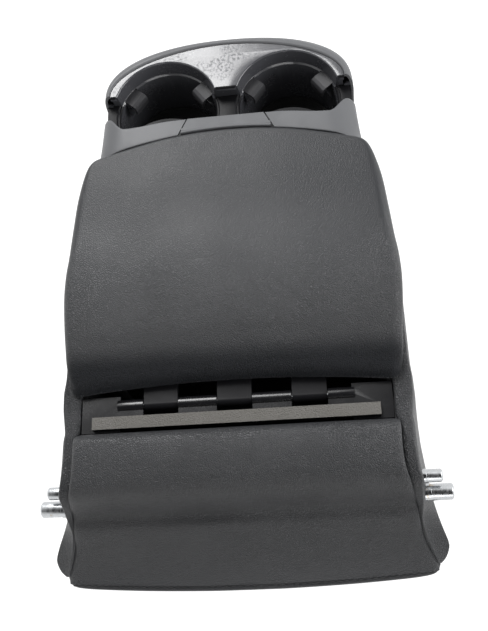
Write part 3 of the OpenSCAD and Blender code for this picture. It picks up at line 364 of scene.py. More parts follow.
def bumped(tree, height, strength, distance):
    """The normal of a surface that rises with a height."""
    inputs = {"Height": height, "Strength": strength, "Distance": distance}
    return add_node(tree, "ShaderNodeBump", inputs).outputs[0]


def new_group(name, inputs, outputs):
    """The tree, inputs and output node of a new shader group with a vector input and float sockets."""
    tree = bpy.data.node_groups.new(name, "ShaderNodeTree")
    tree.interface.new_socket("Vector", in_out="INPUT", socket_type="NodeSocketVector")
    for key, value in inputs.items():
        tree.interface.new_socket(key, in_out="INPUT", socket_type="NodeSocketFloat").default_value = value
    for key in outputs:
        tree.interface.new_socket(key, in_out="OUTPUT", socket_type="NodeSocketFloat")
    return tree, tree.nodes.new("NodeGroupInput").outputs, tree.nodes.new("NodeGroupOutput")


def grain_group():
    """Pebbled grain: rounded cells with fine pores and broad softer patches."""
    tree, given, result = new_group("Pebble grain", {"Cells per metre": 800.0}, ("Height", "Pit"))
    place = given["Vector"]
    warp_reach = 0.0012
    pebble_edge = 0.22
    pore_height = 0.35
    warp = noise_node(tree, place, scale=350.0, detail=1.0)
    shift = add_node(tree, "ShaderNodeVectorMath", {0: warp.outputs["Color"], "Scale": warp_reach},
                     operation="SCALE")
    bent = add_node(tree, "ShaderNodeVectorMath", {0: place, 1: shift.outputs[0]}, operation="ADD")
    cells = add_node(tree, "ShaderNodeTexVoronoi",
                     {"Vector": bent.outputs[0], "Scale": given["Cells per metre"]},
                     feature="DISTANCE_TO_EDGE")
    pebble = remap(tree, cells.outputs["Distance"], 0.0, pebble_edge)
    pores = noise_node(tree, place, scale=2600.0, detail=2.0)
    patches = noise_node(tree, place, scale=22.0, detail=2.0)
    softer = remap(tree, patches.outputs["Fac"], 0.35, 0.65, 1.0, 0.6)
    height = times(tree, pebble, softer)
    fine = times(tree, pores.outputs["Fac"], pore_height)
    set_inputs(tree, result, {
        "Height": math_node(tree, "ADD", height, fine),
        "Pit": math_node(tree, "SUBTRACT", 1.0, pebble),
    })


def moulded_group():
    """Moulded or painted surface: fine texture, slow change of sheen, a few specks and dusty smudges."""
    tree, given, result = new_group("Moulded surface", {"Texture per metre": 1500.0, "Specks": 0.0},
                                    ("Height", "Sheen", "Speck", "Smudge"))
    place = given["Vector"]
    speck_strength = 0.3
    fine = noise_node(tree, place, given["Texture per metre"], detail=3.0, roughness=0.6)
    slow = noise_node(tree, place, scale=35.0, detail=3.0)
    dots = add_node(tree, "ShaderNodeTexVoronoi", {"Vector": place, "Scale": 420.0}, feature="F1")
    chosen = add_node(tree, "ShaderNodeSeparateColor", {"Color": dots.outputs["Color"]})
    few = remap(tree, chosen.outputs["Red"], 0.55, 0.95)
    dot = remap(tree, dots.outputs["Distance"], 0.10, 0.22, 1.0, 0.0)
    speck = times(tree, times(tree, dot, few), given["Specks"])
    dust = noise_node(tree, place, scale=480.0, detail=5.0, roughness=0.7)
    where = noise_node(tree, place, scale=45.0, detail=2.0)
    smudge = times(tree, remap(tree, dust.outputs["Fac"], 0.46, 0.60),
                   remap(tree, where.outputs["Fac"], 0.48, 0.62))
    set_inputs(tree, result, {
        "Height": fine.outputs["Fac"],
        "Sheen": remap(tree, slow.outputs["Fac"], 0.3, 0.7),
        "Speck": times(tree, speck, speck_strength),
        "Smudge": times(tree, smudge, given["Specks"]),
    })


def mixed_color(tree, factor, a, b):
    mix = add_node(tree, "ShaderNodeMix", data_type="RGBA")
    colors = [socket for socket in mix.inputs if socket.type == "RGBA"]
    tree.links.new(factor, mix.inputs["Factor"])
    colors[0].default_value = (*a, 1.0)
    colors[1].default_value = (*b, 1.0)
    return next(socket for socket in mix.outputs if socket.type == "RGBA")


def new_material(name):
    """The node tree, Principled shader and Object coordinate of a new material."""
    material = bpy.data.materials.new(name)
    material.use_nodes = True
    tree = material.node_tree
    return tree, tree.nodes["Principled BSDF"], tree.nodes.new("ShaderNodeTexCoord").outputs["Object"]


def leather_material(settings):
    """Dark leather whose grain is strongest where it is stretched or rolled."""
    # Lines across the leather and how far each one's stretched grain reaches, as (y, reach)
    stretched_lines = ((48.0, 75.0), (150.0, 105.0))
    full_reach = 4.0
    resting_grain = 0.24
    pit_shade = 0.45
    pebble_rough = 0.42
    pit_rough = 0.56
    relief = 0.0006
    # The lid's rear roll is duller, and the sheen fades along the lid to its front
    dull_y = 138.0
    dull_loss = 0.35
    sheen = 0.45
    front_sheen = 0.30
    fade_start, fade_end = 205.0, 290.0

    tree, shader, place = new_material("Grained leather")
    cells = 1.0 / (settings.grain_size * MM)
    grain = add_node(tree, "ShaderNodeGroup", {"Vector": place, "Cells per metre": cells},
                     node_tree=bpy.data.node_groups["Pebble grain"])
    split = add_node(tree, "ShaderNodeSeparateXYZ", {"Vector": place})
    along = split.outputs["Y"]

    def away_from(y):
        return math_node(tree, "ABSOLUTE", math_node(tree, "SUBTRACT", along, frame_y(y)))

    bands = [remap(tree, away_from(y), full_reach * MM, reach * MM, 1.0, resting_grain)
             for y, reach in stretched_lines]
    stretched = math_node(tree, "MAXIMUM", *bands)
    pit = times(tree, grain.outputs["Pit"], stretched)
    color = mixed_color(tree, pit, settings.leather_color, [c * pit_shade for c in settings.leather_color])
    strength = times(tree, stretched, settings.grain_depth)
    near = remap(tree, away_from(dull_y), 6.0 * MM, 24.0 * MM, 1.0, 0.0)
    dull = times(tree, near, remap(tree, split.outputs["Z"], 84.0 * MM, 89.0 * MM))
    front = remap(tree, along, frame_y(fade_start), frame_y(fade_end), sheen, front_sheen)
    set_inputs(tree, shader, {
        "Base Color": color,
        "Roughness": remap(tree, pit, 0.0, 1.0, pebble_rough, pit_rough),
        "Specular IOR Level": math_node(tree, "MULTIPLY_ADD", dull, -dull_loss, front),
        "Normal": bumped(tree, grain.outputs["Height"], strength, relief),
    })


def plastic_material(name, color, rough, depth, texture=1500.0, specks=0.0, level=0.5, relief=0.0002):
    """Moulded or painted plastic with texture, uneven sheen, specks and smudges."""
    dust_color = (0.45, 0.45, 0.43)
    sheen_change = 0.12
    smudge_rough = 0.35
    tree, shader, place = new_material(name)
    surface = add_node(tree, "ShaderNodeGroup",
                       {"Vector": place, "Texture per metre": texture, "Specks": specks},
                       node_tree=bpy.data.node_groups["Moulded surface"]).outputs
    sheen = remap(tree, surface["Sheen"], 0.0, 1.0, rough * (1 - sheen_change), rough * (1 + sheen_change))
    set_inputs(tree, shader, {
        "Base Color": mixed_color(tree, surface["Speck"], color, dust_color),
        "Roughness": math_node(tree, "MULTIPLY_ADD", surface["Smudge"], smudge_rough, sheen),
        "Specular IOR Level": level,
        "Normal": bumped(tree, surface["Height"], depth, relief),
    })


def metal_material(name, color, rough, streak=(1.0, 1.0, 1.0)):
    """Plated steel with drawn or turned streaks and faint stains."""
    stain_color = (0.30, 0.24, 0.17)
    relief = 0.0001
    tree, shader, place = new_material(name)
    drawn_out = add_node(tree, "ShaderNodeMapping", {"Vector": place, "Scale": streak})
    lines = noise_node(tree, drawn_out.outputs[0], scale=900.0, detail=3.0).outputs["Fac"]
    stains = noise_node(tree, place, scale=160.0, detail=4.0, roughness=0.7)
    stained = remap(tree, stains.outputs["Fac"], 0.62, 0.74)
    set_inputs(tree, shader, {
        "Base Color": mixed_color(tree, stained, color, stain_color),
        "Roughness": remap(tree, lines, 0.3, 0.7, rough * 0.7, rough * 1.35),
        "Metallic": 1.0,
        "Normal": bumped(tree, lines, 0.05, relief),
    })


def thread_material():
    """Twisted black thread with slanting plies, and painted shade in the grooves between them."""
    # Painted shade: the grooves between the plies are coloured darker than the plies
    groove_shade_color = (0.012, 0.012, 0.013)
    ply_color = (0.03, 0.03, 0.032)
    relief = 0.0001
    tree, shader, place = new_material("Stitch thread")
    plies = add_node(tree, "ShaderNodeTexWave", {"Vector": place, "Scale": 900.0, "Distortion": 1.0},
                     wave_type="BANDS", bands_direction="DIAGONAL").outputs["Fac"]
    set_inputs(tree, shader, {
        "Base Color": mixed_color(tree, plies, groove_shade_color, ply_color),
        "Roughness": 0.7,
        "Normal": bumped(tree, plies, 0.4, relief),
    })


def material_of(slot):
    """The finish of a record slot."""
    return bpy.data.materials[MATERIAL_NAMES[slot]]


MATERIAL_NAMES = {
    "frame_plastic": "Moulded black", "zinc_steel": "Zinc plate", "shaft_steel": "Turned zinc steel",
    "spring_steel": "Spring steel", "bush_plastic": "Natural bearing plastic", "screw_steel": "Zinc plate",
    "black_screw": "Blacked screw", "textured_grey": "Coarse grey bar", "tray_plastic": "Moulded black",
    "mat_rubber": "Ribbed rubber", "soft_grey": "Soft-touch grey", "black_plastic": "Smooth black",
    "leather": "Grained leather", "gloss_black": "Gloss black", "tab_plastic": "Tab grey",
}


class ArmrestSettings(bpy.types.PropertyGroup):
    """Sizes and colours of the armrest's finishes"""
    leather_color: FloatVectorProperty(
        name="Leather", description="Colour of the leather", subtype="COLOR",
        default=(0.0150, 0.0160, 0.0185), min=0.0, max=1.0)
    grey_color: FloatVectorProperty(
        name="Soft-touch grey", description="Colour of the collar and the fascia", subtype="COLOR",
        default=(0.094, 0.096, 0.101), min=0.0, max=1.0)
    bar_color: FloatVectorProperty(
        name="Bar", description="Colour of the textured bar", subtype="COLOR",
        default=(0.085, 0.080, 0.072), min=0.0, max=1.0)
    grain_size: FloatProperty(
        name="Grain size", description="Width of one pebble of the grain in millimetres",
        default=1.5, min=0.5, max=4.0)
    grain_depth: FloatProperty(
        name="Grain depth", description="Strength of the grain", default=0.95, min=0.0, max=1.0)
    stitch_pitch: FloatProperty(
        name="Stitch pitch", description="Distance from one stitch to the next", unit="LENGTH",
        default=0.0052, min=0.002, max=0.02, precision=4)
    stitch_length: FloatProperty(
        name="Stitch length", description="Length of one stitch", unit="LENGTH",
        default=0.0040, min=0.001, max=0.02, precision=4)
    thread_width: FloatProperty(
        name="Thread", description="Thickness of the thread", unit="LENGTH",
        default=0.0008, min=0.0002, max=0.003, precision=4)
    lamp_power: FloatProperty(
        name="Lamp power", description="Power of the main lamp", unit="POWER",
        default=34.0, min=0.0, max=100.0)


class ARMREST_OT_finishes(bpy.types.Operator):
    """Builds the finishes and gives each frame part its own"""
    bl_idname = "armrest.finishes"
    bl_label = "Finishes"

    def execute(self, context):
        settings = context.scene.armrest
        grain_group()
        moulded_group()
        leather_material(settings)
        plastic_material("Moulded black", (0.012, 0.012, 0.013), rough=0.5, depth=0.25, texture=1800.0)
        plastic_material("Smooth black", (0.007, 0.007, 0.008), rough=0.38, depth=0.06, specks=0.1,
                         level=0.08)
        plastic_material("Gloss black", (0.052, 0.053, 0.059), rough=0.15, depth=0.015, texture=900.0,
                         specks=0.8)
        plastic_material("Hinge black", (0.006, 0.006, 0.007), rough=0.24, depth=0.05, specks=0.1)
        plastic_material("Tab grey", (0.036, 0.036, 0.039), rough=0.5, depth=0.12, texture=2200.0,
                         level=0.25)
        plastic_material("Soft-touch grey", settings.grey_color, rough=0.5, depth=0.10, texture=2600.0,
                         level=0.27)
        plastic_material("Coarse grey bar", settings.bar_color, rough=0.5, depth=1.0, texture=900.0,
                         relief=0.0009)
        plastic_material("Natural bearing plastic", (0.55, 0.54, 0.50), rough=0.4, depth=0.1)
        plastic_material("Ribbed rubber", (0.012, 0.012, 0.012), rough=0.75, depth=0.4, texture=2200.0)
        plastic_material("Blacked screw", (0.02, 0.02, 0.02), rough=0.3, depth=0.1)
        metal_material("Zinc plate", (0.58, 0.58, 0.56), rough=0.34)
        metal_material("Turned zinc steel", (0.40, 0.41, 0.42), rough=0.26, streak=(0.4, 0.15, 0.15))
        metal_material("Spring steel", (0.34, 0.34, 0.35), rough=0.3)
        thread_material()
        for name, obj in NODES.items():
            for held in obj.material_slots:
                held.material = material_of(SLOT_OF[name])
        return {"FINISHED"}


class ARMREST_OT_hump(bpy.types.Operator):
    """Makes the leather hump over the pivot"""
    bl_idname = "armrest.hump"
    bl_label = "Leather hump"

    UNEVENNESS = 0.35
    # Below the ridge the leather swells backwards as well as up
    RIDGE_Y, SWELL_BACK, SWELL_UP = 58, 0.45, 0.8
    # The lower edge bows backwards in the middle and forwards at its ends, less and less up to BOW_TOP_Y
    BOW_MIDDLE, BOW_ENDS, BOW_LOW_Y, BOW_TOP_Y = -1.8, 2.6, 8, 30
    # The leather rolls down at its side seams
    SEAM_DROP, SEAM_REACH = 2.2, 1.8
    # A crease runs below the ridge, deeper around DIMPLE_X, with a soft bulge behind it
    CREASE_Y, CREASE_REACH, CREASE_DEPTH = 43, 3.6, 1.5
    DIMPLE_X, DIMPLE_REACH, DIMPLE_DEPTH = -26, 40, 1.3
    BULGE_Y, BULGE_REACH, BULGE_HEIGHT = 33, 6.0, 0.9

    def lift(self, u, half, y):
        """How far the leather stands above its profile; u runs from -1 to 1 across the hump's half width."""
        x = u * half
        edge = (1 - abs(u)) * half
        crease = self.CREASE_DEPTH + self.DIMPLE_DEPTH * bell(x - self.DIMPLE_X, self.DIMPLE_REACH)
        lift = 1 - u ** 4 - self.SEAM_DROP * math.exp(-edge / self.SEAM_REACH)
        lift += self.UNEVENNESS * wave(x, y * 1.4, 38.0, 3.1) * ramp(edge, 0, 12)
        lift -= crease * bell(y - self.CREASE_Y, self.CREASE_REACH)
        return lift + self.BULGE_HEIGHT * bell(y - self.BULGE_Y, self.BULGE_REACH)

    def row(self, u, line, padded):
        """Points of a lengthwise line over the hump, or of its seat where it isn't padded."""
        points = []
        for p in line:
            half = smooth_value(SEAM_PLAN, p.x) - SEAM_GAP
            lift = self.lift(u, half, p.x) if padded else 0.0
            back, up = (self.SWELL_BACK, self.SWELL_UP) if p.x < self.RIDGE_Y else (0.0, 1.0)
            bowed = lerp(self.BOW_MIDDLE, self.BOW_ENDS, u ** 2) * ramp(p.x, self.BOW_TOP_Y, self.BOW_LOW_Y)
            points.append((u * half, p.x - back * lift + bowed, p.y + up * lift))
        return points

    def execute(self, context):
        outer_line = curve_through(HUMP_OUT, 7)
        inner_line = curve_through(HUMP_IN, 7)
        # The rows stand closer towards the seams
        us = [math.copysign(1 - (1 - abs(t)) ** 1.5, t) for t in spread(-1, 1, 120)]
        pad = shell("hump_leather", [self.row(u, outer_line, True) for u in us],
                    [self.row(u, inner_line, False) for u in us], "leather")
        dress(pad, "base", "leather", "rear_pad")
        return {"FINISHED"}


class ARMREST_OT_side_panels(bpy.types.Operator):
    """Makes the two leather side panels"""
    bl_idname = "armrest.side_panels"
    bl_label = "Leather side panels"

    WIDEST_Z = 26.0
    UNEVENNESS = 0.5
    PAD_T = 2.8
    # The leather rolls down at its upper seam
    SEAM_DROP, SEAM_REACH = 1.2, 1.6

    def section(self, y):
        """The seam's half width, the top, and the skin's (x, z) points from the seam to the lower edge."""
        top = smooth_value(EDGE_PLAN, y)
        inner = smooth_value(SEAM_PLAN, y)
        widest = smooth_value(SIDE_PLAN, y)
        middle = min(self.WIDEST_Z, lerp(SEAM_Z, top, 0.45))
        foot = lerp(inner, widest, 0.45)
        # The panel is a flat slope beside the hump and rounds out beside the lid
        roundness = ramp(y, 70, 120)
        # The shoulder lies at a share of the way to the widest line that grows in two steps
        share = lerp(lerp(0.1, 0.56, ramp(y, 36, 58)), 0.82, ramp(y, 100, LID_Y0))
        shoulder = lerp(inner, widest, share)
        points = []
        for t in spread(0, 0.85, 8):
            x = lerp(inner, shoulder, t)
            points.append((x, top - self.SEAM_DROP * math.exp((inner - x) / self.SEAM_REACH)))
        for t in spread(0.05, 1.0, 24):
            a = t * math.pi / 2
            across = lerp(t ** 1.6, math.sin(a), roundness)
            up = lerp(1 - t, math.cos(a), roundness)
            points.append((lerp(shoulder, widest, across), lerp(middle, top - 0.2, up)))
        for a in spread(0.16, math.pi / 2, 10):
            points.append((lerp(widest, foot, 1 - math.cos(a)), lerp(middle, SEAM_Z, math.sin(a))))
        return inner, top, points

    def execute(self, context):
        rear_end = [8, 8.8, 9.8, 11, 12.5, 14, 16, 18, 20, 22.5, 25]
        ys = rear_end + spread(28, 130, 46) + spread(LID_Y0, 313.5, 70)
        for side, word in ((-1, "left"), (1, "right")):
            skin = []
            lining = []
            for y in ys:
                inner, top, points = self.section(y)
                row = []
                for x, z in points:
                    swell = self.UNEVENNESS * wave(y, z, 30.0, 5.3 + side) * ramp(x, inner, inner + 8)
                    row.append((side * (x + swell), y, z))
                skin.append(row)
                heights = spread(top - self.PAD_T, SEAM_Z + 0.3, len(row) - 1)
                lining.append([(side * inner, y, z) for z in heights])
            pad = shell("side_leather_" + word, skin, lining, "leather")
            dress(pad, "base", "leather", "side_pad_" + word)
        return {"FINISHED"}


class ARMREST_OT_underside(bpy.types.Operator):
    """Makes the leather underside"""
    bl_idname = "armrest.underside"
    bl_label = "Leather underside"

    # The rounded edge from the seam down to the resting face, as (inset, height)
    EDGE = ((6.0, UNDER_T), (1.2, UNDER_T), (0.3, 11.4), (0.0, 10.2), (0.3, 8.0), (1.2, 5.2), (2.8, 2.8),
            (5.0, 1.1), (8.0, 0.2), (11.0, 0.0))

    def execute(self, context):
        loop = mirrored_loop(UNDER_OUTLINE, 6)
        rings = [[(p.x, p.y, z) for p in inset_loop(loop, inset)] for inset, z in self.EDGE]
        pad = stacked_rings("underside_leather", rings, "leather")
        dress(pad, "base", "leather", "under_pad")
        return {"FINISHED"}


class ARMREST_OT_lid(bpy.types.Operator):
    """Makes the leather pad of the lid"""
    bl_idname = "armrest.lid"
    bl_label = "Leather lid"

    EDGE_R = 8.0
    HALF_W = 126.0
    # How far the crown falls to the sides, down the rear roll and to the front
    SIDE_DROP = 2.4
    ROLL_DROP, ROLL_LENGTH, ROLL_BOW = 11.0, 46.0, 7
    FRONT_DROP = 1.4
    UNEVENNESS = 0.35
    # The foot of the pad's edge stands this far above its lower face
    FOOT = 1.4
    # The front edge is tighter than the others
    FRONT_SHARE = 0.42
    # The lower face, as (inset, rise)
    UNDER = ((5.0, 4.0), (3.6, 0.0), (1.6, 0.0), (0.5, 0.5))

    def crown(self, x, y):
        """Height of the leather over a place in the lid's plan, before its edge is rounded."""
        roll = ramp(y - LID_Y0 - 1 + self.ROLL_BOW * (x / 120) ** 2, self.ROLL_LENGTH, 0)
        front = ramp(ramp(y, LID_Y0, LID_Y1), 0.7, 1.0)
        smooth = (LID_TOP - self.SIDE_DROP * (x / self.HALF_W) ** 2 - self.ROLL_DROP * roll ** 2
                  - self.FRONT_DROP * front ** 2)
        return smooth + self.UNEVENNESS * wave(x, y, 45.0, 1.7)

    def top_at(self, p, inset, share=1.0):
        """Height of the leather at a place that lies inset from the edge."""
        crown = self.crown(p.x, p.y)
        return max(crown - round_off(inset, self.EDGE_R) * share, LID_LOW + self.FOOT)

    def execute(self, context):
        loop = mirrored_loop(LID_OUTLINE, 8)
        shares = [lerp(1.0, self.FRONT_SHARE, ramp(p.y, 290, 318)) for p in loop]
        rings = [[(p.x, p.y, LID_LOW + rise) for p in inset_loop(loop, inset)]
                 for inset, rise in self.UNDER]
        for t in (0.0, 0.5):
            rings.append([(p.x, p.y, lerp(LID_LOW + self.FOOT, self.top_at(p, 0.0, share), t))
                          for p, share in zip(loop, shares)])
        for a in spread(0.0, math.pi / 2, 9):
            inset = self.EDGE_R * (1 - math.cos(a))
            rings.append([(p.x, p.y, self.top_at(p, inset, share))
                          for p, share in zip(inset_loop(loop, inset, shares), shares)])
        inner = inset_loop(loop, self.EDGE_R, shares)
        centre = Vector((0.0, lerp(LID_Y0, LID_Y1, 0.5)))
        for k in spread(0.985, 0.02, 60):
            drawn = [centre.lerp(p, k) for p in inner]
            rings.append([(p.x, p.y, self.top_at(p, self.EDGE_R)) for p in drawn])
        pad = stacked_rings("lid_leather", rings, "leather")
        dress(pad, "lid", "leather", "lid_pad")
        return {"FINISHED"}


class ARMREST_OT_collar(bpy.types.Operator):
    """Makes the grey collar and the latch lever"""
    bl_idname = "armrest.collar"
    bl_label = "Collar and lever"

    # The hoop's rounded corner, and the rounding of its front and rear edges
    CORNER_W, CORNER_H = 25.0, 21.0
    FRONT_R, REAR_R, MAX_ROUND = 1.3, 0.9, 1.2
    # The hoop's half width along the length, as (y, half width)
    HALF_PLAN = ((CORNER_Y - 6, HALF_MOUTH + 5.5), (CORNER_Y, HALF_MOUTH + 4.6), (LID_Y1, HALF_MOUTH + 2),
                 (HORN_Y, HALF_MOUTH))
    # Shares of the way from the rear edge to the front edge, closer where the edges are rounded
    SHARES = (1.0, 0.99, 0.975, 0.95, 0.91, 0.85, 0.7, 0.5, 0.3, 0.15, 0.08, 0.04, 0.015, 0.0)
    # The strip's front edge, over shares of the mouth's half width: it dips to DIP, then reaches the horns
    FLAT_END, DIP_END, HORN_START = 0.4, 0.8, 0.99
    FLAT_DIP, DIP = 0.5, 4
    LID_GAP = 1.2
    # The lever's slot: half width at the strip's front edge, and its growth per millimetre rearwards
    SLOT_HALF, SLOT_FLARE = 31.1, 0.5
    # The lever's raised rear edge, as (y, z) from the strip's rear edge and top
    RIDGE = ((6.0, 0.02), (3.9, 0.02), (3.2, 0.3), (2.6, 0.9), (1.9, 1.3), (1.2, 1.15), (0.6, 0.5),
             (0.4, -0.6), (0.4, -2.0))
    RIDGE_HALF, RIDGE_T = 35.6, 1.2

    def front(self, x):
        """The strip's front edge: nearly straight between the cups, then forwards to the horns."""
        t = abs(x) / HALF_MOUTH
        if t < self.FLAT_END:
            return STRIP_Y1 - self.FLAT_DIP * (t / self.FLAT_END) ** 2
        if t < self.DIP_END:
            dipped = ease(ramp(t, self.FLAT_END, self.DIP_END))
            return STRIP_Y1 - lerp(self.FLAT_DIP, self.DIP, dipped)
        return lerp(STRIP_Y1 - self.DIP, HORN_Y, ease(ramp(t, self.DIP_END, self.HORN_START)))

    def rear(self, x):
        """The strip's rear edge, which follows the lid's front."""
        return LID_Y1 + self.LID_GAP - LID_CORNER * (x / (HALF_MOUTH + 4)) ** 2

    def hoop(self, w, s, t):
        """A point of the hoop of half width w, drawn in by t.

        s runs from 0 to 1 over the top, to 2 round the corner and to 3 down the side.
        """
        if s <= 1:
            return s * (w - self.CORNER_W), STRIP_H - t
        if s <= 2:
            a = (s - 1) * math.pi / 2
            return (w - self.CORNER_W + (self.CORNER_W - t) * math.sin(a),
                    STRIP_H - self.CORNER_H + (self.CORNER_H - t) * math.cos(a))
        return w - t, lerp(STRIP_H - self.CORNER_H, SEAM_Z, s - 2)

    def line(self, s, side, outside):
        """Points from the hoop's front edge to its rear edge, on its outer or its inner face."""
        x_side = HALF_MOUTH + 3
        x_here = min(self.hoop(HALF_MOUTH + 2, s, 0)[0], x_side)
        y0 = self.rear(x_here if s <= 2 else x_side)
        y1 = self.front(x_here) if s <= 2 else HORN_Y
        points = []
        for share in self.SHARES:
            y = lerp(y0, y1, share)
            rounding = round_off(y1 - y, self.FRONT_R) + round_off(y - y0, self.REAR_R)
            drawn_in = min(rounding, self.MAX_ROUND) if outside else COLLAR_T
            x, z = self.hoop(smooth_value(self.HALF_PLAN, y), s, drawn_in)
            points.append((side * x, y, z))
        return points

    def lever_slot(self):
        """The block that cuts the lever's slot into the strip."""
        def half(y):
            return self.SLOT_HALF + (STRIP_Y1 - y) * self.SLOT_FLARE

        y0 = LID_Y1 - 6.0
        y1 = STRIP_Y1 + 4.0
        plan = [(-half(y0), y0), (half(y0), y0), (half(y1), y1), (-half(y1), y1)]
        points = [(x, y, z) for z in (STRIP_H - 8, STRIP_H + 4) for x, y in plan]
        faces = [(3, 2, 1, 0), (4, 5, 6, 7)] + [(i, (i + 1) % 4, 4 + (i + 1) % 4, 4 + i) for i in range(4)]
        return mesh_piece("cutter", points, faces, material_of("soft_grey"))

    def lever_skin(self):
        """The lever's rear edge: a raised ridge that follows the strip's curve."""
        outer = []
        inner = []
        for t in spread(-1, 1, 40):
            x = t * self.RIDGE_HALF
            y0 = self.rear(x)
            outer.append([(x, y0 + dy, STRIP_H + dz) for dy, dz in self.RIDGE])
            inner.append([(x, y0 + max(dy, 1.3), STRIP_H + min(dz, 0.0) - self.RIDGE_T * (dy > 1))
                          for dy, dz in self.RIDGE])
        skin = shell("lever_ridge", outer, inner, "soft_grey")
        skin.data.set_sharp_from_angle(angle=math.radians(60))
        dress(skin, "latch", "soft_grey")

    def execute(self, context):
        stations = spread(0, 1, 26) + spread(1, 2, 18)[1:] + spread(2, 3, 8)[1:]
        both = [(s, -1) for s in reversed(stations[1:])] + [(s, 1) for s in stations]
        collar = shell("collar_shell", [self.line(s, side, True) for s, side in both],
                       [self.line(s, side, False) for s, side in both], "soft_grey")
        cut_away(collar, self.lever_slot())
        collar.data.set_sharp_from_angle(angle=math.radians(40))
        dress(collar, "base", "soft_grey", "front_collar")
        refined("latch_lever", 0.4)
        self.lever_skin()
        return {"FINISHED"}


class ARMREST_OT_fascia(bpy.types.Operator):
    """Makes the bowed fascia"""
    bl_idname = "armrest.fascia"
    bl_label = "Fascia"

    TOP = DECK_Z + 0.8
    LOW = SEAM_Z + 4
    # The skins from the deck over the rounded rim down to the lower edge, as (f, z) with the f of bow_line
    SKIN_OUT = ((0, DECK_Z - 0.3), (0.04, TOP - 0.35), (0.09, TOP + 0.1), (0.16, TOP + 0.3),
                (0.24, TOP + 0.05), (0.32, TOP - 0.4), (0.44, TOP - 1.5), (0.55, TOP - 3), (0.66, TOP - 4.9),
                (0.75, TOP - 7), (0.83, TOP - 9.7), (0.9, TOP - 13), (0.96, TOP - 17.2), (1, TOP - 22),
                (1, TOP - 31), (1, TOP - 40), (0.98, LOW + 33), (0.95, LOW + 26), (0.9, LOW + 17),
                (0.84, LOW + 10), (0.76, LOW + 4.3), (0.66, LOW))
    SKIN_IN = ((0, DECK_Z - 2.4), (0.06, DECK_Z - 2.6), (0.16, TOP - 3.2), (0.3, TOP - 4.2), (0.46, TOP - 7),
               (0.58, TOP - 10.5), (0.68, TOP - 15.5), (0.74, TOP - 23), (0.74, TOP - 40), (0.7, LOW + 26),
               (0.66, LOW + 12), (0.6, LOW + 1))

    def bow_line(self, f):
        """Points of the fascia's plan from left to right; f runs from its inner to its outer line."""
        count = 120
        power = 2 / lerp(1.9, 2.5, f)
        half = lerp(HALF_MOUTH - 7.5, HALF_MOUTH, f)
        reach = lerp(BOW - LAND_W, BOW, f)
        out = []
        for i in range(count + 1):
            a = math.pi - i * math.pi / count
            c = math.cos(a)
            s = max(math.sin(a), 0.0)
            out.append((half * math.copysign(abs(c) ** power, c), STEP_Y + reach * s ** power))
        return out

    def grid(self, skin):
        return [[(x, y, z) for x, y in self.bow_line(f)] for f, z in skin]

    def execute(self, context):
        # The inner skin gets as many points as the outer one, and keeps its last
        skin_in = curve_through(self.SKIN_IN, 2)
        skin_in = skin_in[:len(self.SKIN_OUT) - 1] + skin_in[-1:]
        fascia = shell("fascia_shell", self.grid(self.SKIN_OUT), self.grid(skin_in), "soft_grey")
        fascia.data.set_sharp_from_angle(angle=math.radians(50))
        dress(fascia, "drawer", "soft_grey", "drawer_fascia")
        return {"FINISHED"}


class ARMREST_OT_cup_holder(bpy.types.Operator):
    """Finishes the gloss black insert, its tabs and the plate behind it"""
    bl_idname = "armrest.cup_holder"
    bl_label = "Cup holder"

    def execute(self, context):
        insert = refined("cup_insert", 0.8).data
        insert.materials.append(material_of("black_plastic"))
        # Painted shade: the low deck behind the step, under the bridge, gets the darker and duller smooth
        # black
        step = frame_y(STEP_Y + 0.6)
        deck_low = 70.0 * MM
        for polygon in insert.polygons:
            ahead = max(insert.vertices[v].co.y for v in polygon.vertices)
            if ahead < step and polygon.normal.z > 0.5 and polygon.center.z > deck_low:
                polygon.material_index = 1
        refined("bridge_plate", 0.9)
        for name in NODES:
            if name.startswith("tab_left") or name.startswith("tab_right"):
                refined(name, 0.3)
        for name in ("cup_mat_left", "cup_mat_right"):
            refined(name, 0.2)
        return {"FINISHED"}


class ARMREST_OT_hinge(bpy.types.Operator):
    """Finishes the hinge moulding, its textured bar and the lid's inner panel"""
    bl_idname = "armrest.hinge"
    bl_label = "Hinge"

    def execute(self, context):
        moulding = refined("rear_panel", 0.7, bpy.data.materials["Hinge black"]).data
        moulding.materials.append(material_of("textured_grey"))
        bar_front = frame_y(112.2)
        bar_half = 103.7 * MM
        bar_low = 83.0 * MM
        for polygon in moulding.polygons:
            corners = [moulding.vertices[v].co for v in polygon.vertices]
            if all(p.y < bar_front and abs(p.x) < bar_half and p.z > bar_low for p in corners):
                polygon.material_index = 1
        refined("lid_panel", 0.5)
        refined("hinge_pin", 0.2)
        return {"FINISHED"}


class ARMREST_OT_hardware(bpy.types.Operator):
    """Finishes the shafts, the base frame, the tray and the drawer's chassis"""
    bl_idname = "armrest.hardware"
    bl_label = "Hardware"

    def execute(self, context):
        # How widely each node's edges are rounded
        widths = {"pivot_shaft": 0.25, "stop_shaft": 0.25, "storage_tray": 0.5, "drawer_chassis": 0.4,
                  "base_frame": 0.4}
        for name, width in widths.items():
            refined(name, width)
        return {"FINISHED"}


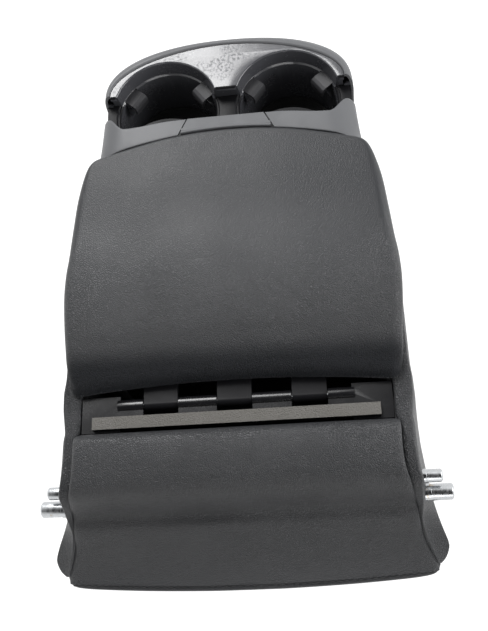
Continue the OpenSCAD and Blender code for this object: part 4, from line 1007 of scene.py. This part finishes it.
def stitch_tree():
    """Geometry Nodes: capsule stitches laid end to end along a line."""
    tree = bpy.data.node_groups.new("Stitches", "GeometryNodeTree")
    tree.interface.new_socket("Geometry", in_out="INPUT", socket_type="NodeSocketGeometry")
    for key in ("Pitch", "Length", "Thread"):
        tree.interface.new_socket(key, in_out="INPUT", socket_type="NodeSocketFloat")
    tree.interface.new_socket("Material", in_out="INPUT", socket_type="NodeSocketMaterial")
    tree.interface.new_socket("Geometry", in_out="OUTPUT", socket_type="NodeSocketGeometry")
    given = tree.nodes.new("NodeGroupInput").outputs
    result = tree.nodes.new("NodeGroupOutput")
    line = add_node(tree, "GeometryNodeMeshToCurve", {"Mesh": given["Geometry"]})
    evened = add_node(tree, "GeometryNodeResampleCurve",
                      {"Curve": line.outputs[0], "Length": given["Pitch"]}, mode="LENGTH")
    ball = add_node(tree, "GeometryNodeMeshUVSphere", {"Segments": 8, "Rings": 6, "Radius": 0.5})
    size = add_node(tree, "ShaderNodeCombineXYZ",
                    {"X": given["Length"], "Y": given["Thread"], "Z": given["Thread"]})
    shaped = add_node(tree, "GeometryNodeTransform",
                      {"Geometry": ball.outputs["Mesh"], "Scale": size.outputs[0]})
    tangent = tree.nodes.new("GeometryNodeInputTangent")
    turned = add_node(tree, "FunctionNodeAlignRotationToVector", {"Vector": tangent.outputs[0]}, axis="X")
    placed = add_node(tree, "GeometryNodeInstanceOnPoints",
                      {"Points": evened.outputs[0], "Instance": shaped.outputs[0],
                       "Rotation": turned.outputs[0]})
    real = add_node(tree, "GeometryNodeRealizeInstances", {0: placed.outputs[0]})
    coated = add_node(tree, "GeometryNodeSetMaterial",
                      {"Geometry": real.outputs[0], "Material": given["Material"]})
    tree.links.new(coated.outputs[0], result.inputs["Geometry"])
    return tree


def laid_along(name, line, tree, values):
    """A plain mesh made by a Geometry Nodes tree along a line of points in millimetres."""
    mesh = bpy.data.meshes.new(name)
    mesh.from_pydata([to_model(*p) for p in line], [(i, i + 1) for i in range(len(line) - 1)], [])
    obj = add_object(name, mesh)
    modifier = obj.modifiers.new("Laid", "NODES")
    modifier.node_group = tree
    for item in tree.interface.items_tree:
        if item.in_out == "INPUT" and item.name in values:
            modifier[item.identifier] = values[item.name]
    apply_modifiers(obj)
    obj.data.shade_smooth()
    return obj


class ARMREST_OT_stitches(bpy.types.Operator):
    """Sews the seam along the hump's rear edge"""
    bl_idname = "armrest.stitches"
    bl_label = "Stitches"

    def execute(self, context):
        settings = context.scene.armrest
        values = {"Pitch": settings.stitch_pitch, "Length": settings.stitch_length,
                  "Thread": settings.thread_width, "Material": bpy.data.materials["Stitch thread"]}
        # The seam follows the hump's bowed rear edge
        seam_half, corner_x = 134, 138
        middle_y, corner_y = -3.0, 1.4
        seam_z = UNDER_T + 1.1
        seam = [(x, lerp(middle_y, corner_y, (x / corner_x) ** 2), seam_z)
                for x in spread(-seam_half, seam_half, 60)]
        dress(laid_along("stitches_rear", seam, stitch_tree(), values), "base", "leather")
        return {"FINISHED"}


class ARMREST_OT_stage(bpy.types.Operator):
    """Builds the floor, the lamps, the world and the camera"""
    bl_idname = "armrest.stage"
    bl_label = "Stage"

    # Name, place, target, width and length in metres, and share of the lamp power
    LAMPS = (("far lamp", (-0.48, 1.1, 1.4), (0.0, 0.08, 0.09), (0.72, 1.0), 1.0),
             ("side lamp", (1.2, 0.1, 0.6), (0.0, 0.0, 0.08), (0.9, 0.8), 0.45),
             ("rear lamp", (0.3, -1.3, 0.6), (0.0, -0.15, 0.06), (1.0, 0.6), 0.19))
    WHITE = (1.0, 1.0, 1.0, 1.0)
    FLOOR_COLOR = (0.22, 0.22, 0.22, 1.0)
    FLOOR_HALF = 4000
    FLOOR_Z = -0.3

    def white_behind(self, tree, shade, mirrored):
        """One where the camera looks, mirrored where a glossy or transmitted ray looks, shade elsewhere."""
        path = tree.nodes.new("ShaderNodeLightPath")
        bent = math_node(tree, "MAXIMUM", path.outputs["Is Glossy Ray"], path.outputs["Is Transmission Ray"])
        level = math_node(tree, "MULTIPLY_ADD", bent, math_node(tree, "SUBTRACT", mirrored, shade), shade)
        return math_node(tree, "MAXIMUM", path.outputs["Is Camera Ray"], level)

    def dark_room(self, tree):
        """Brightness of the studio by direction: white all round but for a dark patch behind the camera."""
        patch = (0.11, -0.42, 0.90)
        bright, dark = 1.5, 0.03
        looked = tree.nodes.new("ShaderNodeTexCoord").outputs["Generated"]
        toward = add_node(tree, "ShaderNodeVectorMath", {0: looked, 1: patch}, operation="DOT_PRODUCT")
        return remap(tree, toward.outputs["Value"], 0.42, 0.88, bright, dark)

    def lamp(self, name, place, target, size, power):
        data = bpy.data.lights.new(name, "AREA")
        data.shape = "RECTANGLE"
        data.size, data.size_y = size
        data.energy = power
        obj = add_object(name, data)
        obj.location = place
        obj.rotation_euler = (Vector(target) - Vector(place)).to_track_quat("-Z", "Y").to_euler()

    def execute(self, context):
        corners = [(-1, -1), (1, -1), (1, 1.1), (-1, 1.1)]
        points = [(x * self.FLOOR_HALF, y * self.FLOOR_HALF, self.FLOOR_Z) for x, y in corners]
        floor = mesh_piece("floor", points, [(0, 1, 2, 3)], self.floor_material())
        world = bpy.data.worlds.new("Studio")
        world.use_nodes = True
        tree = world.node_tree
        level = self.white_behind(tree, shade=0.42, mirrored=self.dark_room(tree))
        set_inputs(tree, tree.nodes["Background"], {"Color": self.WHITE, "Strength": level})
        context.scene.world = world
        for name, place, target, size, share in self.LAMPS:
            self.lamp(name, place, target, size, context.scene.armrest.lamp_power * share)
        self.camera(context)
        context.scene.view_settings.view_transform = "Standard"
        return {"FINISHED"}

    def floor_material(self):
        """White to the camera, with a faint shadow where the armrest stands."""
        material = bpy.data.materials.new("Pale floor")
        material.use_nodes = True
        tree = material.node_tree
        tree.nodes.clear()
        paint = add_node(tree, "ShaderNodeBsdfDiffuse", {"Color": self.FLOOR_COLOR})
        level = self.white_behind(tree, shade=0.35, mirrored=1.2)
        glow = add_node(tree, "ShaderNodeEmission", {"Color": self.WHITE, "Strength": level})
        total = add_node(tree, "ShaderNodeAddShader", {0: paint.outputs[0], 1: glow.outputs[0]})
        out = tree.nodes.new("ShaderNodeOutputMaterial")
        tree.links.new(total.outputs[0], out.inputs["Surface"])
        return material

    def camera(self, context):
        """The camera that the photograph's edges give."""
        focal_px = 900.0
        frame_px = 488.0
        place = to_model(80.53, -51.0, 704.91)
        right = Vector((0.99187, -0.02595, -0.12461))
        down = Vector((-0.06806, -0.93542, -0.34693))
        forward = Vector((-0.10756, 0.35259, -0.92958))
        data = bpy.data.cameras.new("camera")
        data.sensor_fit = "HORIZONTAL"
        data.sensor_width = 36.0
        data.lens = focal_px / frame_px * data.sensor_width
        data.clip_start = 0.01
        obj = add_object("camera", data)
        turn = Matrix((right, -down, -forward)).transposed().to_4x4()
        obj.matrix_world = Matrix.Translation(place) @ turn
        context.scene.camera = obj


class ARMREST_PT_panel(bpy.types.Panel):
    """Lists the armrest's settings and steps"""
    bl_idname = "ARMREST_PT_panel"
    bl_label = "Rear armrest"
    bl_space_type = "VIEW_3D"
    bl_region_type = "UI"
    bl_category = "Armrest"

    def draw(self, context):
        settings = context.scene.armrest
        for key in ArmrestSettings.__annotations__:
            self.layout.prop(settings, key)
        for step in STEPS:
            self.layout.operator(step.bl_idname)


STEPS = (ARMREST_OT_finishes, ARMREST_OT_stage, ARMREST_OT_hump, ARMREST_OT_side_panels, ARMREST_OT_underside,
         ARMREST_OT_lid, ARMREST_OT_collar, ARMREST_OT_fascia, ARMREST_OT_cup_holder, ARMREST_OT_hinge,
         ARMREST_OT_hardware, ARMREST_OT_stitches)
CLASSES = (ArmrestSettings, *STEPS, ARMREST_PT_panel)


def register():
    for cls in CLASSES:
        bpy.utils.register_class(cls)
    bpy.types.Scene.armrest = PointerProperty(type=ArmrestSettings)


def unregister():
    del bpy.types.Scene.armrest
    for cls in reversed(CLASSES):
        bpy.utils.unregister_class(cls)


def main():
    register()
    for step in STEPS:
        group, name = step.bl_idname.split(".")
        getattr(getattr(bpy.ops, group), name)()


if __name__ == "__main__":
    main()
